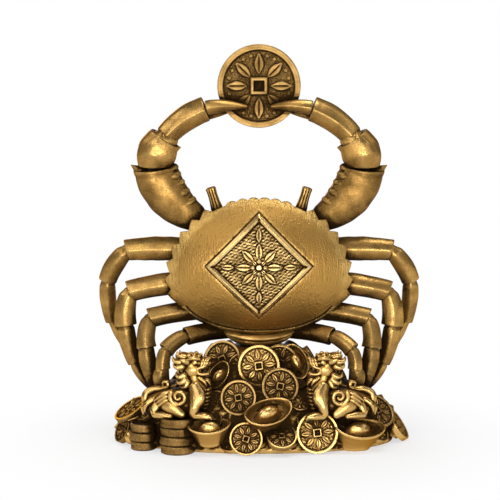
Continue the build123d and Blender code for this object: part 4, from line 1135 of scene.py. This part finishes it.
def mesh_arrays(piece):
    """Vertices, normals and edges of a piece as arrays, in millimetres."""
    mesh = piece.data
    verts = np.empty(len(mesh.vertices) * 3)
    mesh.vertices.foreach_get("co", verts)
    normals = np.empty(len(mesh.vertices) * 3)
    mesh.vertex_normals.foreach_get("vector", normals)
    edges = np.empty(len(mesh.edges) * 2, dtype=np.int32)
    mesh.edges.foreach_get("vertices", edges)
    verts = verts.reshape(-1, 3) * MILLIMETRES_IN_METRE
    return verts, normals.reshape(-1, 3), edges.reshape(-1, 2)


def neighbour_mean(values, edges, count):
    """Every vertex's mean over the vertices that an edge joins it to."""
    degree = np.bincount(edges.ravel(), minlength=count)
    first, second = edges.T
    total = [
        np.bincount(first, column[second], count) + np.bincount(second, column[first], count)
        for column in values.T
    ]
    return np.stack(total, axis=-1) / np.maximum(degree, 1)[:, None]


def sunkenness(verts, normals, edges, reach):
    """How far each vertex lies under its surface smoothed over a reach: positive in hollows."""
    spacing = np.median(np.linalg.norm(verts[edges[:, 0]] - verts[edges[:, 1]], axis=1))
    rounds = int(np.clip((reach / spacing) ** 2, 2, 60))
    smooth = verts
    for _ in range(rounds):
        smooth = 0.5 * smooth + 0.5 * neighbour_mean(smooth, edges, len(verts))
    return ((smooth - verts) * normals).sum(axis=1)


CELL = 1.5
MARGIN = 15
low_corner = np.array(cad_box[0]) * MILLIMETRES_IN_METRE - MARGIN
high_corner = np.array(cad_box[1]) * MILLIMETRES_IN_METRE + MARGIN
cells = np.ceil((high_corner - low_corner) / CELL).astype(int)
crowd = np.zeros(cells)
shapes = [mesh_arrays(piece) for piece, _ in castings]
for verts, normals, edges in shapes:
    crowd[tuple(((verts - low_corner) / CELL).astype(int).T)] = 1


def spread_out(field, rounds):
    """The field averaged that many times over each cell and its two neighbours along every axis."""
    for axis in (0, 1, 2):
        for _ in range(rounds):
            field = (field + np.roll(field, 1, axis) + np.roll(field, -1, axis)) / 3
    return field


def crowd_ahead(field, verts, normals, distance):
    """The field in the cell that lies that far in front of each vertex."""
    ahead = ((verts + distance * normals - low_corner) / CELL).astype(int)
    return field[tuple(np.clip(ahead, 0, cells - 1).T)]


FINE_REACH, BROAD_REACH = 1.0, 2.4
FINE_DEPTH, BROAD_DEPTH, RUB_DEPTH = 0.10, 0.25, 0.08
NEAR_ROUNDS, FAR_ROUNDS = 3, 24
NEAR_AHEAD, FAR_AHEAD = 3.0, 7.0
NEAR_FULL, FAR_FULL = 0.16, 0.08
near_crowd, far_crowd = spread_out(crowd, NEAR_ROUNDS), spread_out(crowd, FAR_ROUNDS)
for (piece, down_and_back_shade), (verts, normals, edges) in zip(castings, shapes):
    fine = sunkenness(verts, normals, edges, FINE_REACH)
    broad = sunkenness(verts, normals, edges, BROAD_REACH)
    # Crowding is partly wax kept where other pieces crowd the surface and partly painted shade between
    # parts; shelter is painted shade where pieces farther off hide the light, as under the shell and behind
    # the legs
    crowding = crowd_ahead(near_crowd, verts, normals, NEAR_AHEAD) / NEAR_FULL
    shelter = crowd_ahead(far_crowd, verts, normals, FAR_AHEAD) / FAR_FULL
    # Painted shade on the sides that face down or back, scaled by the piece's down and back shade
    under = np.clip(-normals[:, 2] - 0.1, 0, 1)
    behind = np.clip(normals[:, 1] + 0.25, 0, 1)
    # Real wax in the hollows of the surface, then painted shade added for crowding, shelter and the sides
    # that face down or back
    hollow = 0.8 * np.clip(fine / FINE_DEPTH, 0, 1) + 0.6 * np.clip(broad / BROAD_DEPTH, 0, 1)
    hollow = hollow + 0.35 * np.clip(crowding - 1.4, 0, 1.5) + 0.24 * np.clip(shelter - 1.5, 0, 2.0)
    hollow = hollow + down_and_back_shade * (0.9 * under + 0.3 * behind)
    ridge = np.clip(-fine / RUB_DEPTH - 0.7 * np.clip(broad / BROAD_DEPTH, -1, 1), 0, 1)
    rub = ridge * np.clip(2.2 - crowding, 0, 1)
    for name, values in (("hollow", np.clip(hollow, 0, 1.2)), ("rub", rub)):
        layer = piece.data.attributes.new(name, "FLOAT", "POINT")
        layer.data.foreach_set("value", values.astype(np.float32))

# The table and the light: a pale floor under a white room, a large soft lamp high on the left and
# smaller ones to the sides, in front, overhead and behind. The camera stands a metre off.


def seen_by(tree, *rays):
    """1 for the named kinds of ray and 0 for others: the largest of those outputs of the light path."""
    light_path = add_node(tree, "LightPath", {})
    seen = light_path.outputs[rays[0]]
    for ray in rays[1:]:
        both = {0: seen, 1: light_path.outputs[ray]}
        seen = add_node(tree, "Math", both, operation="MAXIMUM").outputs[0]
    return seen


floor_mesh = bpy.data.meshes.new("floor")
floor_mesh.from_pydata([(-4, -4, 0), (4, -4, 0), (4, 4, 0), (-4, 4, 0)], [], [(0, 1, 2, 3)])
floor = bpy.data.objects.new("floor", floor_mesh)
bpy.context.scene.collection.objects.link(floor)
paper = bpy.data.materials.new("white_paper")
paper.use_nodes = True
tree = paper.node_tree
shader = tree.nodes["Principled BSDF"]
shader.inputs["Base Color"].default_value = (0.9, 0.9, 0.9, 1)
shader.inputs["Roughness"].default_value = 0.9
floor_place = add_node(tree, "TexCoord", {}).outputs["Object"]
distance = add_node(tree, "VectorMath", {0: floor_place}, operation="LENGTH").outputs["Value"]
fading = {"From Min": 0.03, "From Max": 0.16, "To Min": 0.55, "Value": distance}
fade = add_node(tree, "MapRange", fading, interpolation_type="SMOOTHSTEP").outputs["Result"]
seen = seen_by(tree, "Is Camera Ray", "Is Transmission Ray", "Is Glossy Ray")
white_part = add_node(tree, "Math", {0: seen, 1: fade}, operation="MULTIPLY").outputs[0]
glow = add_node(tree, "Emission", {}).outputs["Emission"]
blend = add_node(tree, "MixShader", {"Fac": white_part, 1: shader.outputs["BSDF"], 2: glow})
tree.links.new(blend.outputs["Shader"], tree.nodes["Material Output"].inputs["Surface"])
floor_mesh.materials.append(paper)

room = bpy.data.worlds.new("white_room")
bpy.context.scene.world = room
room.use_nodes = True
tree = room.node_tree
room_place = add_node(tree, "TexCoord", {}).outputs["Generated"]
backward = add_node(tree, "SeparateXYZ", {0: room_place}).outputs["Y"]
bright_back = {"From Min": 0.75, "From Max": 0.98, "To Min": 0.10, "To Max": 1.0, "Value": backward}
behind = add_node(tree, "MapRange", bright_back).outputs["Result"]
lit = add_node(tree, "Mix", {"A": 0.16, "B": behind, "Factor": seen_by(tree, "Is Glossy Ray")})
seen = seen_by(tree, "Is Camera Ray", "Is Transmission Ray")
strength = add_node(tree, "Mix", {"A": lit.outputs["Result"], "B": 1.0, "Factor": seen})
tree.nodes["Background"].inputs["Color"].default_value = (1, 1, 1, 1)
tree.links.new(strength.outputs["Result"], tree.nodes["Background"].inputs["Strength"])

# Place, the height over the table's middle that it is turned to, width, height and power
LAMPS = {
    "key_lamp": ((-0.45, -0.85, 0.65), 0.1, 0.8, 0.8, 3.8),
    "side_lamp": ((0.75, -0.7, 0.35), 0.1, 0.5, 0.5, 0.6),
    "front_lamp": ((0.05, -0.9, 0.12), 0.08, 0.5, 0.5, 1.3),
    "low_lamp": ((0.0, -0.42, 0.03), 0.075, 0.5, 0.08, 0.8),
    "top_lamp": ((0.12, -0.16, 0.9), 0.1, 0.4, 0.4, 2.7),
    "left_lamp": ((-0.85, -0.1, 0.75), 0.1, 0.6, 0.6, 2.0),
    "right_lamp": ((0.85, -0.1, 0.75), 0.1, 0.6, 0.6, 1.1),
    "back_lamp": ((-0.3, 0.9, 0.3), 0.1, 0.6, 0.6, 4.0),
}
for name, (place, aim, width, height, power) in LAMPS.items():
    lamp = bpy.data.lights.new(name, "AREA")
    lamp.shape = "RECTANGLE"
    lamp.size = width
    lamp.size_y = height
    lamp.energy = power
    holder = bpy.data.objects.new(name, lamp)
    holder.location = place
    away = np.array(place) - np.array((0, 0, aim))
    tilt = math.acos(away[2] / np.linalg.norm(away))
    holder.rotation_euler = (tilt, 0, math.atan2(away[1], away[0]) + math.pi / 2)
    bpy.context.scene.collection.objects.link(holder)

CAMERA_DISTANCE = 1.0
CAMERA_RISE = math.radians(7.0)
AIM_HEIGHT = 0.0967
camera = bpy.data.cameras.new("camera")
camera.lens = 142.8
camera.sensor_width = 36.0
camera.shift_x = -0.018
viewer = bpy.data.objects.new("camera", camera)
camera_height = AIM_HEIGHT + CAMERA_DISTANCE * math.sin(CAMERA_RISE)
viewer.location = (0, -CAMERA_DISTANCE * math.cos(CAMERA_RISE), camera_height)
viewer.rotation_euler = (math.pi / 2 - CAMERA_RISE, 0, 0)
bpy.context.scene.collection.objects.link(viewer)
bpy.context.scene.camera = viewer
bpy.context.scene.view_settings.view_transform = "Standard"
